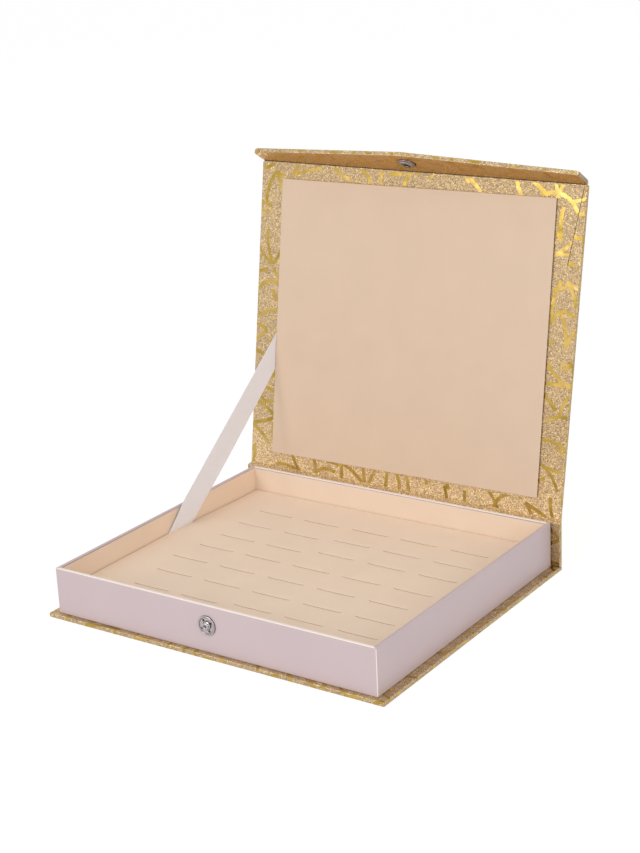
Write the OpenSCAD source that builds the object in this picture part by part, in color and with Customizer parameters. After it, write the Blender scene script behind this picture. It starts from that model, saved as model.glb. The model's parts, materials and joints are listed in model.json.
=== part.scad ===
// A book-style display box for rings: a lined tray on a base board, with a lid and a
// pointed closing flap that hang on the one sheet of covering, held by a ribbon and a snap.
// +X is right seen from the front, +Y is back, +Z is up.
// The origin is the centre of the base's underside.

/* [Case boards] */
// Thickness of the greyboard in the base, spine, lid and flap
case_board = 2; // [1.5:0.1:3]
// Thickness of the glitter covering
cover_t = 0.2; // [0.15:0.05:0.4]
// How far the base and lid reach past the tray at each side
side_overhang = 4.8; // [2:0.2:8]
// How far the base reaches past the tray at the front
front_overhang = 2.6; // [1:0.2:6]
// Gap between the tray's rear wall and the spine
spine_gap = 0.8; // [0.3:0.1:2]
// Width of the covering turned over the edges onto the base's upper side
base_turn_in = 14; // [8:1:25]
// Width of the covering turned over the edges onto the lid's inner side
lid_turn_in = 6; // [3:0.5:9]
// Gap between the base board and the spine, where the covering folds
crease_gap = 0.4; // [0.3:0.1:1]

/* [Tray] */
// Outside width of the tray
tray_w = 190; // [160:1:260]
// Outside depth of the tray, front to back
tray_d = 168; // [150:1:240]
// Height of the tray's walls above the base
tray_h = 24.5; // [21:0.5:45]
// Thickness of the greyboard in the tray's walls
wall_board = 1.6; // [1.2:0.1:2.5]
// Thickness of the greyboard under the pad
floor_board = 1.8; // [1.2:0.1:3]
// Thickness of the pearl paper round the tray
wrap_t = 0.2; // [0.15:0.05:0.4]
// How far the pearl paper turns down inside the rim
wrap_turn = 6; // [3:0.5:8]
// Thickness of the suede lining on the walls
lining_t = 0.4; // [0.2:0.1:0.8]
// How far the lining stops below the rim
lining_drop = 0.8; // [0.3:0.1:2]

/* [Ring pad] */
// Height of the pad's top above the base's upper side
pad_top = 11.4; // [10:0.2:14]
// Thickness of the suede on the pad
pad_suede_t = 0.6; // [0.4:0.1:1]
// Gap between the pad and the lining round it
pad_clear = 0.3; // [0.2:0.1:1]
// Length of one slit
slit_len = 22.5; // [15:0.5:24]
// Width of one slit where it is cut
slit_w = 0.4; // [0.2:0.1:0.8]
// Depth of the slits below the pad's top
slit_depth = 8; // [5:0.5:8]
// Number of slits in a row
slit_cols = 5; // [2:1:5]
// Number of rows of slits
slit_rows = 7; // [2:1:7]
// Distance between the slits of a row, centre to centre
slit_pitch_x = 30.4; // [27:0.2:32]
// Distance between the rows
slit_pitch_y = 18.3; // [12:0.1:20]
// How far the field of slits lies right of the pad's centre
slit_shift = 2; // [-3:0.5:3]

/* [Lid] */
// How far the open lid leans back from upright, in degrees
lid_lean = 9.8; // [0:0.2:20]
// Depth of the lid's fold line below the tray's rim
hinge_drop = 0.3; // [0.2:0.1:0.8]
// Gap left between the shut lid and the tray's rim
lid_shut_clear = 0.05; // [0.05:0.05:0.5]
// How far the lid's fold line lies in front of the spine's outer face
hinge_inset = 0.8; // [0:0.1:1.2]
// Gap between the fold line and the lid's lower edge
lid_gap = 1; // [0.8:0.1:2]
// Margin of lid left and right of the panel
panel_side = 15.4; // [12:0.2:25]
// Margin of lid below the panel
panel_below = 9; // [7:0.2:20]
// Margin of lid above the panel
panel_above = 8; // [7:0.2:20]
// How far the hand-laid panel is turned out of square, in degrees
panel_turn = 0.5; // [0:0.1:0.8]
// Thickness of the card in the panel
panel_card_t = 0.8; // [0.6:0.1:1.5]
// Thickness of the suede on the panel
panel_suede_t = 0.3; // [0.2:0.1:0.6]

/* [Flap] */
// Depth of the flap at its ends, from the fold line
flap_end = 12; // [8:0.5:16]
// Depth of the flap at its middle, from the fold line
flap_mid = 21; // [18:0.5:24]
// How far each end of the flap is cut back from the lid's side
flap_inset = 0.8; // [0:0.2:3]
// Radius of the flap's free corners
flap_corner = 1.5; // [0.5:0.25:3]
// Angle between the lid's plane and the flap's, in degrees
flap_fold = 66; // [30:1:88]
// Gap left between the lid's and the flap's edges when the flap is folded square
fold_clear = 0.1; // [0.1:0.05:0.8]

/* [Snap fastener] */
// Diameter of both halves of the snap
snap_d = 10; // [9:0.5:13]
// Height of the snap's centre above the base's upper side
snap_rise = 14.2; // [11.5:0.1:16]
// Thickness of the stud's disc
stud_disc_t = 0.5; // [0.4:0.1:0.6]
// Height of the raised edge round the stud's disc
stud_lip_h = 0.8; // [0.7:0.05:0.9]
// Diameter of the nub's head
nub_d = 3.6; // [3.2:0.1:4]
// Diameter of the sewing holes in the stud
sew_hole_d = 1.1; // [0.8:0.1:1.2]
// Thickness of the socket
socket_t = 1.3; // [1.2:0.05:1.4]
// Gap between the nub's head and the socket's bore
nub_clear = 0.25; // [0.2:0.05:0.3]
// Gap between the nub's tip and the shut flap
nub_tip_clear = 0.3; // [0.2:0.05:0.5]
// Gap between the stud's raised edge and the socket when the box is shut
snap_clear = 0.1; // [0.1:0.05:0.5]
// Diameter of the wire of the socket's spring
spring_wire = 0.36; // [0.3:0.02:0.4]

/* [Ribbon] */
// Width of the ribbon
ribbon_w = 13; // [8:0.5:16]
// Thickness of the ribbon
ribbon_t = 0.3; // [0.2:0.05:0.3]
// Distance of the ribbon behind the tray's front, where it enters beside the pad
ribbon_back = 90.5; // [60:0.5:110]
// Distance up the lid at which the ribbon comes out from behind the panel
ribbon_up = 68; // [50:0.5:90]
// Slant of the ribbon behind the panel from straight up the lid, in degrees
ribbon_slant = 39; // [30:1:50]
// Length of the ribbon glued behind the panel
ribbon_glued = 18; // [10:1:25]
// How far the ribbon's rear edge turns away from the wall where it turns most
ribbon_turn = 2.4; // [0:0.2:4]

/* [Hidden] */

champagne = "#cdb48c";
pearl = "#cfc1c4";
suede_beige = "#e2caae";
greyboard = "#9a9186";
satin = "#dcd2d2";
foam_white = "#efe6da";
nickel = "#c9c6c8";

// A cut reaches this far past the face that it opens.
past = 1;

// Case: base, spine and their outline
case_t = case_board + 2 * cover_t;
case_w = tray_w + 2 * side_overhang;
case_d = front_overhang + tray_d + spine_gap + case_t;
half_w = case_w / 2;
front_y = -case_d / 2;
rear_y = case_d / 2;
tray_front = front_y + front_overhang;
tray_rear = tray_front + tray_d;
spine_front = tray_rear + spine_gap;
rim_z = case_t + tray_h;

// Tray: insets from its outside
wall_in = wrap_t + wall_board;
lining_out = wall_in + wrap_t;
lining_in = lining_out + lining_t;
inside_x = tray_w / 2 - lining_in;
floor_z = case_t + floor_board;
pad_z = case_t + pad_top;

// Lid: its own frame stands on the fold line, +Z up the lid and -Y to its inner side
hinge_y = rear_y - hinge_inset;
hinge_z = rim_z - hinge_drop;
lid_inner = hinge_drop + lid_shut_clear;
lid_outer = lid_inner + case_t;
flap_gap = case_t / 2 + fold_clear;
shut_gap = stud_lip_h + snap_clear + socket_t;
fold_up = hinge_y - tray_front + shut_gap + case_t / 2;
lid_end = fold_up - flap_gap;
panel_x = half_w - panel_side;
panel_low = lid_gap + panel_below;
panel_high = lid_end - panel_above;
panel_front = lid_inner - panel_card_t - panel_suede_t;

// Flap: its own frame stands on its fold line, +Z along the flap and -Y to its inner side
flap_x = half_w - flap_inset;
socket_along = tray_h + case_t / 2 - snap_rise;

// Snap
stud_r = snap_d / 2;
lip_w = 0.7;
nub_h = shut_gap - nub_tip_clear;
nub_r = nub_d / 2;
neck_r = nub_r - 0.4;
bore_r = nub_r + nub_clear;
sew_ring_r = (nub_r + stud_r - lip_w) / 2;
sew_first_angle = 32;

// Ribbon: the middle of each end, and half the length of edge that it crosses there
ribbon_side_x = -inside_x + ribbon_t / 2;
ribbon_low_y = tray_front + ribbon_back;
lid_tilt = [0, sin(lid_lean), cos(lid_lean)];
lid_back = [0, cos(lid_lean), -sin(lid_lean)];
ribbon_low = [ribbon_side_x, ribbon_low_y, pad_z];
ribbon_high = [-panel_x - ribbon_t / 2, hinge_y, hinge_z]
            + (lid_inner - ribbon_t / 2) * lid_back + ribbon_up * lid_tilt;
ribbon_rise = atan2(ribbon_high[2] - ribbon_low[2], ribbon_high[1] - ribbon_low[1]);
low_half = ribbon_w / 2 / sin(ribbon_rise);
high_half = ribbon_w / 2 / sin(ribbon_slant);
ribbon_steps = 16;

module block(low, high) {
    translate(low) cube(high - low);
}

module at_lid() {
    translate([0, hinge_y, hinge_z]) rotate([-lid_lean, 0, 0]) children();
}

module at_flap() {
    at_lid() translate([0, lid_inner + case_t / 2, fold_up]) rotate([flap_fold, 0, 0]) children();
}

// ---- Case ----

module base_board() {
    color(greyboard)
        block([-half_w + cover_t, front_y + cover_t, cover_t],
              [half_w - cover_t, spine_front - crease_gap, case_t - cover_t]);
}

// The covering lies under the base board, goes up its edges and turns in on top.
module base_cover() {
    color(champagne) difference() {
        block([-half_w, front_y, 0], [half_w, spine_front, case_t]);
        block([-half_w + cover_t, front_y + cover_t, cover_t],
              [half_w - cover_t, spine_front + past, case_t - cover_t]);
        block([-half_w + base_turn_in, front_y + base_turn_in, cover_t],
              [half_w - base_turn_in, spine_front + past, case_t + past]);
    }
}

module spine_board() {
    color(greyboard)
        block([-half_w + cover_t, spine_front + cover_t, cover_t],
              [half_w - cover_t, rear_y - cover_t, hinge_z - cover_t]);
}

// The covering goes all round the spine board and leaves the middle bare behind the tray.
module spine_cover() {
    color(champagne) difference() {
        block([-half_w, spine_front, 0], [half_w, rear_y, hinge_z]);
        block([-half_w + cover_t, spine_front + cover_t, cover_t],
              [half_w - cover_t, rear_y - cover_t, hinge_z - cover_t]);
        block([-half_w + base_turn_in, spine_front - past, 2 * cover_t],
              [half_w - base_turn_in, spine_front + 2 * cover_t, hinge_z - tray_h / 2]);
    }
}

// ---- Tray ----

// Plan of a wall ring: the tray's outline between two insets
module tray_ring(outer_inset, inner_inset) {
    translate([0, tray_front + tray_d / 2]) difference() {
        square([tray_w - 2 * outer_inset, tray_d - 2 * outer_inset], center = true);
        square([tray_w - 2 * inner_inset, tray_d - 2 * inner_inset], center = true);
    }
}

module tray_floor() {
    color(greyboard)
        block([-tray_w / 2 + wall_in, tray_front + wall_in, case_t],
              [tray_w / 2 - wall_in, tray_rear - wall_in, floor_z]);
}

// Side wall board; side is -1 for the left and 1 for the right
module side_wall(side) {
    middle_x = side * (tray_w / 2 - wrap_t - wall_board / 2);
    color(greyboard)
        block([middle_x - wall_board / 2, tray_front + wrap_t, case_t],
              [middle_x + wall_board / 2, tray_rear - wrap_t, rim_z - wrap_t]);
}

// Wall board between the side walls; outside_y is its outer face
module cross_wall(outside_y, inward) {
    middle_y = outside_y + inward * (wrap_t + wall_board / 2);
    color(greyboard)
        block([-tray_w / 2 + wall_in, middle_y - wall_board / 2, case_t],
              [tray_w / 2 - wall_in, middle_y + wall_board / 2, rim_z - wrap_t]);
}

module tray_front_wall() { cross_wall(tray_front, 1); }

module tray_rear_wall() { cross_wall(tray_rear, -1); }

module tray_left_wall() { side_wall(-1); }

module tray_right_wall() { side_wall(1); }

// Pearl paper outside the walls, over the rim and a little way down inside
module tray_wrap() {
    color(pearl) {
        translate([0, 0, case_t]) linear_extrude(tray_h) tray_ring(0, wrap_t);
        translate([0, 0, rim_z - wrap_t]) linear_extrude(wrap_t) tray_ring(0, lining_out);
        translate([0, 0, rim_z - wrap_turn]) linear_extrude(wrap_turn) tray_ring(wall_in, lining_out);
    }
}

module side_lining(side) {
    middle_x = side * (tray_w / 2 - lining_out - lining_t / 2);
    color(suede_beige)
        block([middle_x - lining_t / 2, tray_front + lining_out, floor_z],
              [middle_x + lining_t / 2, tray_rear - lining_out, rim_z - lining_drop]);
}

module cross_lining(outside_y, inward) {
    middle_y = outside_y + inward * (lining_out + lining_t / 2);
    color(suede_beige)
        block([-inside_x, middle_y - lining_t / 2, floor_z],
              [inside_x, middle_y + lining_t / 2, rim_z - lining_drop]);
}

module lining_front() { cross_lining(tray_front, 1); }

module lining_rear() { cross_lining(tray_rear, -1); }

module lining_left() { side_lining(-1); }

module lining_right() { side_lining(1); }

// ---- Ring pad ----

// The slits are cut by hand, so a row may slide sideways, and step back right of its second slit.
function row_slide(row) = [2, 1, -3, 0, 2, 0, 0][row % 7];
function row_step(row) = [3, 0, 0, 0, 4, 3, 1][row % 7];

function slit_x(col, row) = slit_shift + (col - (slit_cols - 1) / 2) * slit_pitch_x + row_slide(row);
function slit_y(col, row) = tray_front + tray_d / 2 + (row - (slit_rows - 1) / 2) * slit_pitch_y
                          + (col < slit_cols / 2 - 1 ? -0.5 : 0.5) * row_step(row);

module slits() {
    for (row = [0 : slit_rows - 1])
        for (col = [0 : slit_cols - 1])
            translate([slit_x(col, row), slit_y(col, row), pad_z - slit_depth / 2 + past / 2])
                cube([slit_len, slit_w, slit_depth + past], center = true);
}

// A slab as wide as the pad; the left side leaves room for the ribbon's end
module pad_slab(low_z, high_z) {
    block([-inside_x + ribbon_t + pad_clear, tray_front + lining_in + pad_clear, low_z],
          [inside_x - pad_clear, tray_rear - lining_in - pad_clear, high_z]);
}

module pad_foam() {
    color(foam_white) difference() {
        pad_slab(floor_z, pad_z - pad_suede_t);
        slits();
    }
}

module pad_suede() {
    color(suede_beige) difference() {
        pad_slab(pad_z - pad_suede_t, pad_z);
        slits();
    }
}

// ---- Snap ----

// Disc with a raised edge, four sewing holes and a nub with a narrow neck, facing the front
module snap_stud() {
    color(nickel) translate([0, tray_front, case_t + snap_rise]) rotate([90, 0, 0]) difference() {
        rotate_extrude($fn = 64) polygon([
            [0, 0], [stud_r, 0], [stud_r, stud_lip_h - 0.15], [stud_r - 0.15, stud_lip_h],
            [stud_r - lip_w + 0.15, stud_lip_h], [stud_r - lip_w, stud_disc_t],
            [neck_r, stud_disc_t], [neck_r, nub_h - 0.6], [nub_r, nub_h - 0.4],
            [nub_r, nub_h - 0.2], [nub_r - 0.4, nub_h], [0, nub_h]]);
        for (turn = [0 : 3])
            rotate([0, 0, sew_first_angle + 90 * turn]) translate([sew_ring_r, 0, -past])
                cylinder(d = sew_hole_d, h = stud_disc_t + 2 * past, $fn = 32);
    }
}

// Ring on the flap's inner side, with a flange, a raised collar and a bore for the nub
module snap_socket() {
    color(nickel) at_flap() translate([0, -case_t / 2, socket_along]) rotate([90, 0, 0])
        rotate_extrude($fn = 64) polygon([
            [bore_r, 0], [stud_r, 0], [stud_r, 0.45], [stud_r - 0.15, 0.6],
            [stud_r - lip_w, 0.6], [stud_r - lip_w - 0.3, socket_t - 0.15],
            [stud_r - lip_w - 0.5, socket_t], [bore_r, socket_t]]);
}

// Open ring of wire in the socket's mouth, which closes behind the nub's head
module socket_spring() {
    ring_r = bore_r - spring_wire / 2 - 0.02;
    mouth = socket_t - spring_wire / 2 - 0.05;
    color(nickel) at_flap() translate([0, -case_t / 2 - mouth, socket_along]) rotate([90, 0, 0])
        rotate_extrude(angle = 300, $fn = 48) translate([ring_r, 0]) circle(d = spring_wire, $fn = 24);
}

// ---- Lid ----

module lid_board() {
    color(greyboard) at_lid()
        block([-half_w + cover_t, lid_inner + cover_t, lid_gap + cover_t],
              [half_w - cover_t, lid_outer - cover_t, lid_end - cover_t]);
}

// The covering lies on the lid's outer side and turns in over its edges.
module lid_cover() {
    color(champagne) at_lid() difference() {
        block([-half_w, lid_inner, lid_gap], [half_w, lid_outer, lid_end]);
        block([-half_w + cover_t, lid_inner + cover_t, lid_gap + cover_t],
              [half_w - cover_t, lid_outer - cover_t, lid_end - cover_t]);
        block([-half_w + lid_turn_in, lid_inner - past, lid_gap + lid_turn_in],
              [half_w - lid_turn_in, lid_inner + 2 * cover_t, lid_end - lid_turn_in]);
    }
}

module lid_liner() {
    color(champagne) at_lid()
        block([-half_w + lid_turn_in, lid_inner, lid_gap + lid_turn_in],
              [half_w - lid_turn_in, lid_inner + cover_t, lid_end - lid_turn_in]);
}

// The ribbon's upper end, as it lies behind the panel: its plan grows by a margin all round
module ribbon_lid_plan(margin) {
    cross = high_half + margin / sin(ribbon_slant);
    reach = (ribbon_glued + margin) * [sin(ribbon_slant), cos(ribbon_slant)];
    start = [-panel_x, ribbon_up];
    polygon([start - [0, cross], start + [0, cross], start + [0, cross] + reach, start - [0, cross] + reach]);
}

// The plan drawn on the lid's inner side, from there a given way towards the front
module ribbon_lid_layer(thickness, margin) {
    translate([0, lid_inner, 0]) rotate([90, 0, 0]) linear_extrude(thickness) ribbon_lid_plan(margin);
}

module ribbon_lid_end() {
    color(satin) at_lid() ribbon_lid_layer(ribbon_t, 0);
}

// Turns the panel in the lid's plane, round its own centre
module turned_panel() {
    centre = [0, 0, (panel_low + panel_high) / 2];
    translate(centre) rotate([0, -panel_turn, 0]) translate(-centre) children();
}

module panel_card() {
    color(greyboard) at_lid() difference() {
        turned_panel()
            block([-panel_x + panel_suede_t, lid_inner - panel_card_t, panel_low + panel_suede_t],
                  [panel_x - panel_suede_t, lid_inner, panel_high - panel_suede_t]);
        ribbon_lid_layer(ribbon_t, 0.1);
    }
}

// Suede over the panel's front and edges
module panel_suede() {
    color(suede_beige) at_lid() difference() {
        turned_panel() block([-panel_x, panel_front, panel_low], [panel_x, lid_inner, panel_high]);
        turned_panel()
            block([-panel_x + panel_suede_t, lid_inner - panel_card_t, panel_low + panel_suede_t],
                  [panel_x - panel_suede_t, lid_inner + past, panel_high - panel_suede_t]);
        translate([-past, 0, 0]) ribbon_lid_layer(ribbon_t, 0.1);
        ribbon_lid_layer(ribbon_t, 0.1);
    }
}

// The covering between the spine's top and the lid's lower edge, where the lid folds
module rear_hinge_cloth() {
    function lid_point(y, z) = [hinge_y, hinge_z] + y * [lid_back[1], lid_back[2]]
                             + z * [lid_tilt[1], lid_tilt[2]];
    color(champagne) rotate([90, 0, 90]) translate([0, 0, -half_w]) linear_extrude(case_w)
        polygon([[spine_front + cover_t, hinge_z], [rear_y, hinge_z],
                 lid_point(lid_outer, lid_gap), lid_point(lid_inner, lid_gap)]);
}

// ---- Flap ----

// Points of an arc round a centre, for a rounded corner of the flap
function arc(centre, radius, from, to) =
    [for (step = [0 : 4]) let (a = from + (to - from) * step / 4) centre + radius * [cos(a), sin(a)]];

// Outline of the flap, drawn inwards by an inset: straight ends and a blunt point in the middle
module flap_plan(inset) {
    edge_slope = atan2(flap_mid - flap_end, flap_x);
    corner_x = flap_x - flap_corner;
    corner_z = flap_end - flap_corner;
    radius = flap_corner - inset;
    side = concat(arc([corner_x, corner_z], radius, 0, 90 - edge_slope), [[0, flap_mid - inset]]);
    mirrored = [for (i = [len(side) - 2 : -1 : 0]) [-side[i][0], side[i][1]]];
    low_z = flap_gap + inset;
    polygon(concat([[flap_x - inset, low_z]], side, mirrored, [[-flap_x + inset, low_z]]));
}

// The outline as a plate between two faces, counted towards the flap's outer side
module flap_plate(from, to, inset) {
    translate([0, to, 0]) rotate([90, 0, 0]) linear_extrude(to - from) flap_plan(inset);
}

module flap_board() {
    color(greyboard) at_flap() flap_plate(-case_t / 2 + cover_t, case_t / 2 - cover_t, cover_t);
}

// The covering lies on the flap's outer side and goes over its edges.
module flap_cover() {
    color(champagne) at_flap() difference() {
        flap_plate(-case_t / 2 + cover_t, case_t / 2, 0);
        flap_plate(-case_t / 2, case_t / 2 - cover_t, cover_t);
    }
}

module flap_liner() {
    color(champagne) at_flap() flap_plate(-case_t / 2, -case_t / 2 + cover_t, 0);
}

// The covering between the lid's upper edge and the flap, where the flap folds
module flap_hinge_cloth() {
    function turned(y, z, angle) = [y * cos(angle) - z * sin(angle), y * sin(angle) + z * cos(angle)];
    half_t = case_t / 2;
    color(champagne) at_lid() translate([0, lid_inner + half_t, fold_up])
        rotate([90, 0, 90]) translate([0, 0, -flap_x]) linear_extrude(2 * flap_x)
            polygon([[-half_t, -flap_gap], [half_t, -flap_gap], turned(half_t, 0, flap_fold / 2),
                     turned(half_t, flap_gap, flap_fold), turned(-half_t, flap_gap, flap_fold)]);
}

// ---- Ribbon ----

// The end beside the pad, down to the tray's floor
module ribbon_tray_end() {
    run = (pad_z - floor_z) / tan(ribbon_rise);
    color(satin) translate([-inside_x, 0, 0]) rotate([90, 0, 90]) linear_extrude(ribbon_t)
        polygon([[ribbon_low_y - low_half, pad_z], [ribbon_low_y + low_half, pad_z],
                 [ribbon_low_y + low_half - run, floor_z], [ribbon_low_y - low_half - run, floor_z]]);
}

// A point of the ribbon: along runs from the tray to the lid, across from its front edge to its rear.
// The rear edge turns to the right soon after it leaves the pad.
function ribbon_point(along, across) =
    (1 - along) * (ribbon_low + across * low_half * [0, 1, 0])
    + along * (ribbon_high - across * high_half * lid_tilt)
    + (1 + across) / 2 * ribbon_turn * sin(180 * sqrt(along)) * [1, 0, 0];

function ribbon_ring(along) =
    let (front = ribbon_point(along, -1), rear = ribbon_point(along, 1), run = ribbon_high - ribbon_low)
    let (face = cross(run, rear - front), side = face * (ribbon_t / 2 / norm(face)))
    [front - side, rear - side, rear + side, front + side];

// The free span between the tray and the lid, pulled straight when the lid is open
module ribbon() {
    rings = [for (step = [0 : ribbon_steps]) ribbon_ring(step / ribbon_steps)];
    points = [for (ring = rings) for (point = ring) point];
    last = 4 * ribbon_steps;
    // Both faces of the ribbon are split along the same diagonal, so that they stay parallel.
    sides = [for (step = [0 : ribbon_steps - 1]) for (edge = [0 : 3])
                let (a = 4 * step + edge, b = 4 * step + (edge + 1) % 4)
                each edge == 2 ? [[a, a + 4, b + 4], [a, b + 4, b]] : [[a, a + 4, b], [b, a + 4, b + 4]]];
    ends = [[0, 1, 2], [0, 2, 3], [last, last + 2, last + 1], [last, last + 3, last + 2]];
    color(satin) polyhedron(points, concat(sides, ends));
}

base_board();
base_cover();
spine_board();
spine_cover();
tray_floor();
tray_front_wall();
tray_rear_wall();
tray_left_wall();
tray_right_wall();
tray_wrap();
lining_front();
lining_rear();
lining_left();
lining_right();
pad_foam();
pad_suede();
snap_stud();
ribbon_tray_end();
ribbon();
ribbon_lid_end();
rear_hinge_cloth();
lid_board();
lid_cover();
lid_liner();
panel_card();
panel_suede();
flap_hinge_cloth();
flap_board();
flap_cover();
flap_liner();
snap_socket();
socket_spring();
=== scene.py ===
"""Ring display box: a lined tray on a base board, with a leaning lid and a pointed closing flap."""

import json
import math

import bmesh
import bpy
from bpy.props import FloatProperty, FloatVectorProperty, IntProperty, PointerProperty
from mathutils import Matrix, Vector


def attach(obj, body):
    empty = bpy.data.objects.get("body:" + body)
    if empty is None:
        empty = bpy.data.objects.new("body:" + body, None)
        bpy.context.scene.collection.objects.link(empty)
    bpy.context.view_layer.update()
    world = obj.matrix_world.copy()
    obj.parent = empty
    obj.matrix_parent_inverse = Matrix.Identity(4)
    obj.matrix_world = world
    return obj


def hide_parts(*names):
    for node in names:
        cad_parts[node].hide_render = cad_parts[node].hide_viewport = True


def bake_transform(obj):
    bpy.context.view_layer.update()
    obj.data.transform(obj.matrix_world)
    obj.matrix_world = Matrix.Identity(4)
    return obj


bl_info = {
    "name": "Ring Display Box",
    "version": (1, 0, 0),
    "blender": (4, 5, 0),
    "location": "View3D > Sidebar > Ring Box",
    "description": "Builds a book-style display box for rings on its measured frame",
    "category": "Object",
}

MM = 0.001
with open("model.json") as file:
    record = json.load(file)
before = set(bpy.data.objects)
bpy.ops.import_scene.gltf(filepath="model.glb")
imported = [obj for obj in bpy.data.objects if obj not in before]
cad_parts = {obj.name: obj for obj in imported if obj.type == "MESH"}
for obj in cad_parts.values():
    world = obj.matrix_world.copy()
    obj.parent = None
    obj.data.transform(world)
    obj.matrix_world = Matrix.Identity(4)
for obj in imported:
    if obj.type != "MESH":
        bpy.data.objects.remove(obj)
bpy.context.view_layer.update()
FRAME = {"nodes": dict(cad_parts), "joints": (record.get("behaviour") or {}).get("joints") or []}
JOINTS = {joint["name"]: joint for joint in FRAME["joints"]}
LEAN = math.radians(9.8)  # how far the open lid leans back from upright
FOLD = math.radians(66)  # the angle between the lid's plane and the flap's


def joint_point(name):
    return Vector(JOINTS[name]["pos_m"])


# Frames in which the pieces are drawn, in millimetres: X right, Y to the outer side, Z up the board
WORLD = Matrix.Scale(MM, 4)
LID = Matrix.Translation(joint_point("lid_hinge")) @ Matrix.Rotation(-LEAN, 4, "X") @ WORLD
FLAP = Matrix.Translation(joint_point("flap_hinge")) @ Matrix.Rotation(FOLD - LEAN, 4, "X") @ WORLD
X, Y, Z = (Vector(axis) for axis in ((1, 0, 0), (0, 1, 0), (0, 0, 1)))


def local_box(node, place):
    """Lowest and highest corner of a CAD node in one of the frames above, in millimetres."""
    back = place.inverted()
    points = [back @ v.co for v in FRAME["nodes"][node].data.vertices]
    return (
        Vector(min(p[i] for p in points) for i in range(3)),
        Vector(max(p[i] for p in points) for i in range(3)),
    )


def linear(value):
    """One channel of a colour as a screen shows it, 0 to 255, turned into the renderer's linear value."""
    share = value / 255
    return share / 12.92 if value <= 10 else ((share + 0.055) / 1.055) ** 2.4


# ---- Sizes and colours that can be changed ----


def length_property(name, description, millimetres, low, high):
    return FloatProperty(name=name, description=description, default=millimetres * MM,
                         min=low * MM, max=high * MM, precision=4, unit="LENGTH", subtype="DISTANCE")


def colour_property(name, description, *values):
    return FloatVectorProperty(name=name, description=description, default=[linear(v) for v in values],
                               min=0.0, max=1.0, size=3, subtype="COLOR")


class RingBoxSizes(bpy.types.PropertyGroup):
    """Sizes of the soft and printed parts; the boards and joints come from the measured frame."""

    edge: length_property("Covering edge", "Radius of the covering's edges", 0.45, 0.2, 0.8)
    slit_length: length_property("Slit length", "Length of each slit in the ring pad", 22.5, 12, 26)
    slit_width: length_property("Slit width", "Width of each slit in the ring pad", 0.45, 0.2, 1.2)
    slit_depth: length_property("Slit depth", "Depth of each slit below the pad's top", 8.0, 3, 9)
    slit_pitch: length_property("Slit pitch", "Distance between neighbouring slits in a row", 30.4, 28, 32)
    row_pitch: length_property("Row pitch", "Distance between the rows of slits", 18.3, 14, 20)
    ribbon_width: length_property("Ribbon width", "Width of the satin ribbon", 13.0, 6, 20)
    ribbon_height: length_property("Ribbon height", "Where the ribbon meets the lid, up from its fold", 68.0, 50, 85)
    stroke_width: length_property("Stroke width", "Width of the gold foil strokes", 1.95, 0.8, 3)
    stroke_reach: length_property("Stroke reach", "Reach of the strokes from their sprig's middle", 11.4, 6, 18)
    sprig_spacing: length_property("Sprig spacing", "Least distance between two sprigs of strokes", 16.8, 12, 30)
    foil_seed: IntProperty(name="Foil layout", description="Number of the strokes' layout",
                           default=5, min=0, max=999)


class RingBoxColours(bpy.types.PropertyGroup):
    """Colours of the finishes."""

    covering: colour_property("Covering", "Champagne glitter paper", 184, 160, 123)
    foil: colour_property("Foil", "Pressed gold foil", 183, 152, 70)
    paper: colour_property("Tray paper", "Pearl paper round the tray", 200, 182, 185)
    # A painted highlight: the pearl paper painted pale where it turns over the rim
    rim_highlight: colour_property("Rubbed edge", "Pearl paper where it turns over the rim", 246, 232, 224)
    suede: colour_property("Suede", "Suede of the pad and the linings", 239, 218, 197)
    panel: colour_property("Panel suede", "Suede of the lid's panel", 219, 195, 172)
    ribbon: colour_property("Ribbon", "Satin of the ribbon", 237, 238, 246)
    metal: colour_property("Snap", "Nickel plate of the press snap", 186, 177, 179)
    board: colour_property("Greyboard", "Board inside the coverings", 150, 142, 132)


def size(name):
    """One of the sizes in millimetres."""
    return getattr(bpy.context.scene.ring_box_sizes, name) / MM


def colour(name):
    return (*getattr(bpy.context.scene.ring_box_colours, name), 1.0)


# ---- Meshes ----


def finish_mesh(name, bm, place, finishes, sharp=None):
    """Turns a mesh drawn in millimetres into a finished object that lies at the origin.
    Without an angle for its sharp edges, its normals follow the large faces."""
    bm.transform(place)
    bmesh.ops.recalc_face_normals(bm, faces=bm.faces)
    mesh = bpy.data.meshes.new(name)
    bm.to_mesh(mesh)
    bm.free()
    obj = bpy.data.objects.new(name, mesh)
    bpy.context.scene.collection.objects.link(obj)
    for finish in finishes:
        mesh.materials.append(material(finish))
    mesh.shade_smooth()
    if sharp is None:
        obj.modifiers.new("Normals", "WEIGHTED_NORMAL").keep_sharp = True
        obj.data = baked_mesh(obj)
        obj.modifiers.clear()
        bpy.data.meshes.remove(mesh)
        obj.data.name = name
    else:
        mesh.set_sharp_from_angle(angle=math.radians(sharp))
    return obj


def baked_mesh(obj):
    """The mesh that an object's modifiers make."""
    return bpy.data.meshes.new_from_object(obj.evaluated_get(bpy.context.evaluated_depsgraph_get()))


def block_place(middle, sizes):
    """The matrix that turns a unit cube into a block."""
    return Matrix.Translation(middle) @ Matrix.Diagonal((*sizes, 1))


def slab(low, high, radius, segments=3):
    """A box with rounded edges."""
    bm = bmesh.new()
    bmesh.ops.create_cube(bm, size=1, matrix=block_place((low + high) / 2, high - low))
    round_edges(bm, bm.edges, radius, segments)
    return bm


def round_edges(bm, edges, radius, segments=3):
    """Bevels edges to a radius; the parts that meet there keep their flat faces."""
    bmesh.ops.bevel(
        bm, geom=list(edges), offset=radius, offset_type="OFFSET", profile=0.5,
        segments=segments, affect="EDGES", clamp_overlap=True,
    )


def bridge(bm, a, b, slot=0):
    """Joins two rings of equally many points with a band of faces."""
    for k in range(len(a)):
        n = (k + 1) % len(a)
        bm.faces.new((a[k], a[n], b[n], b[k])).material_index = slot


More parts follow.
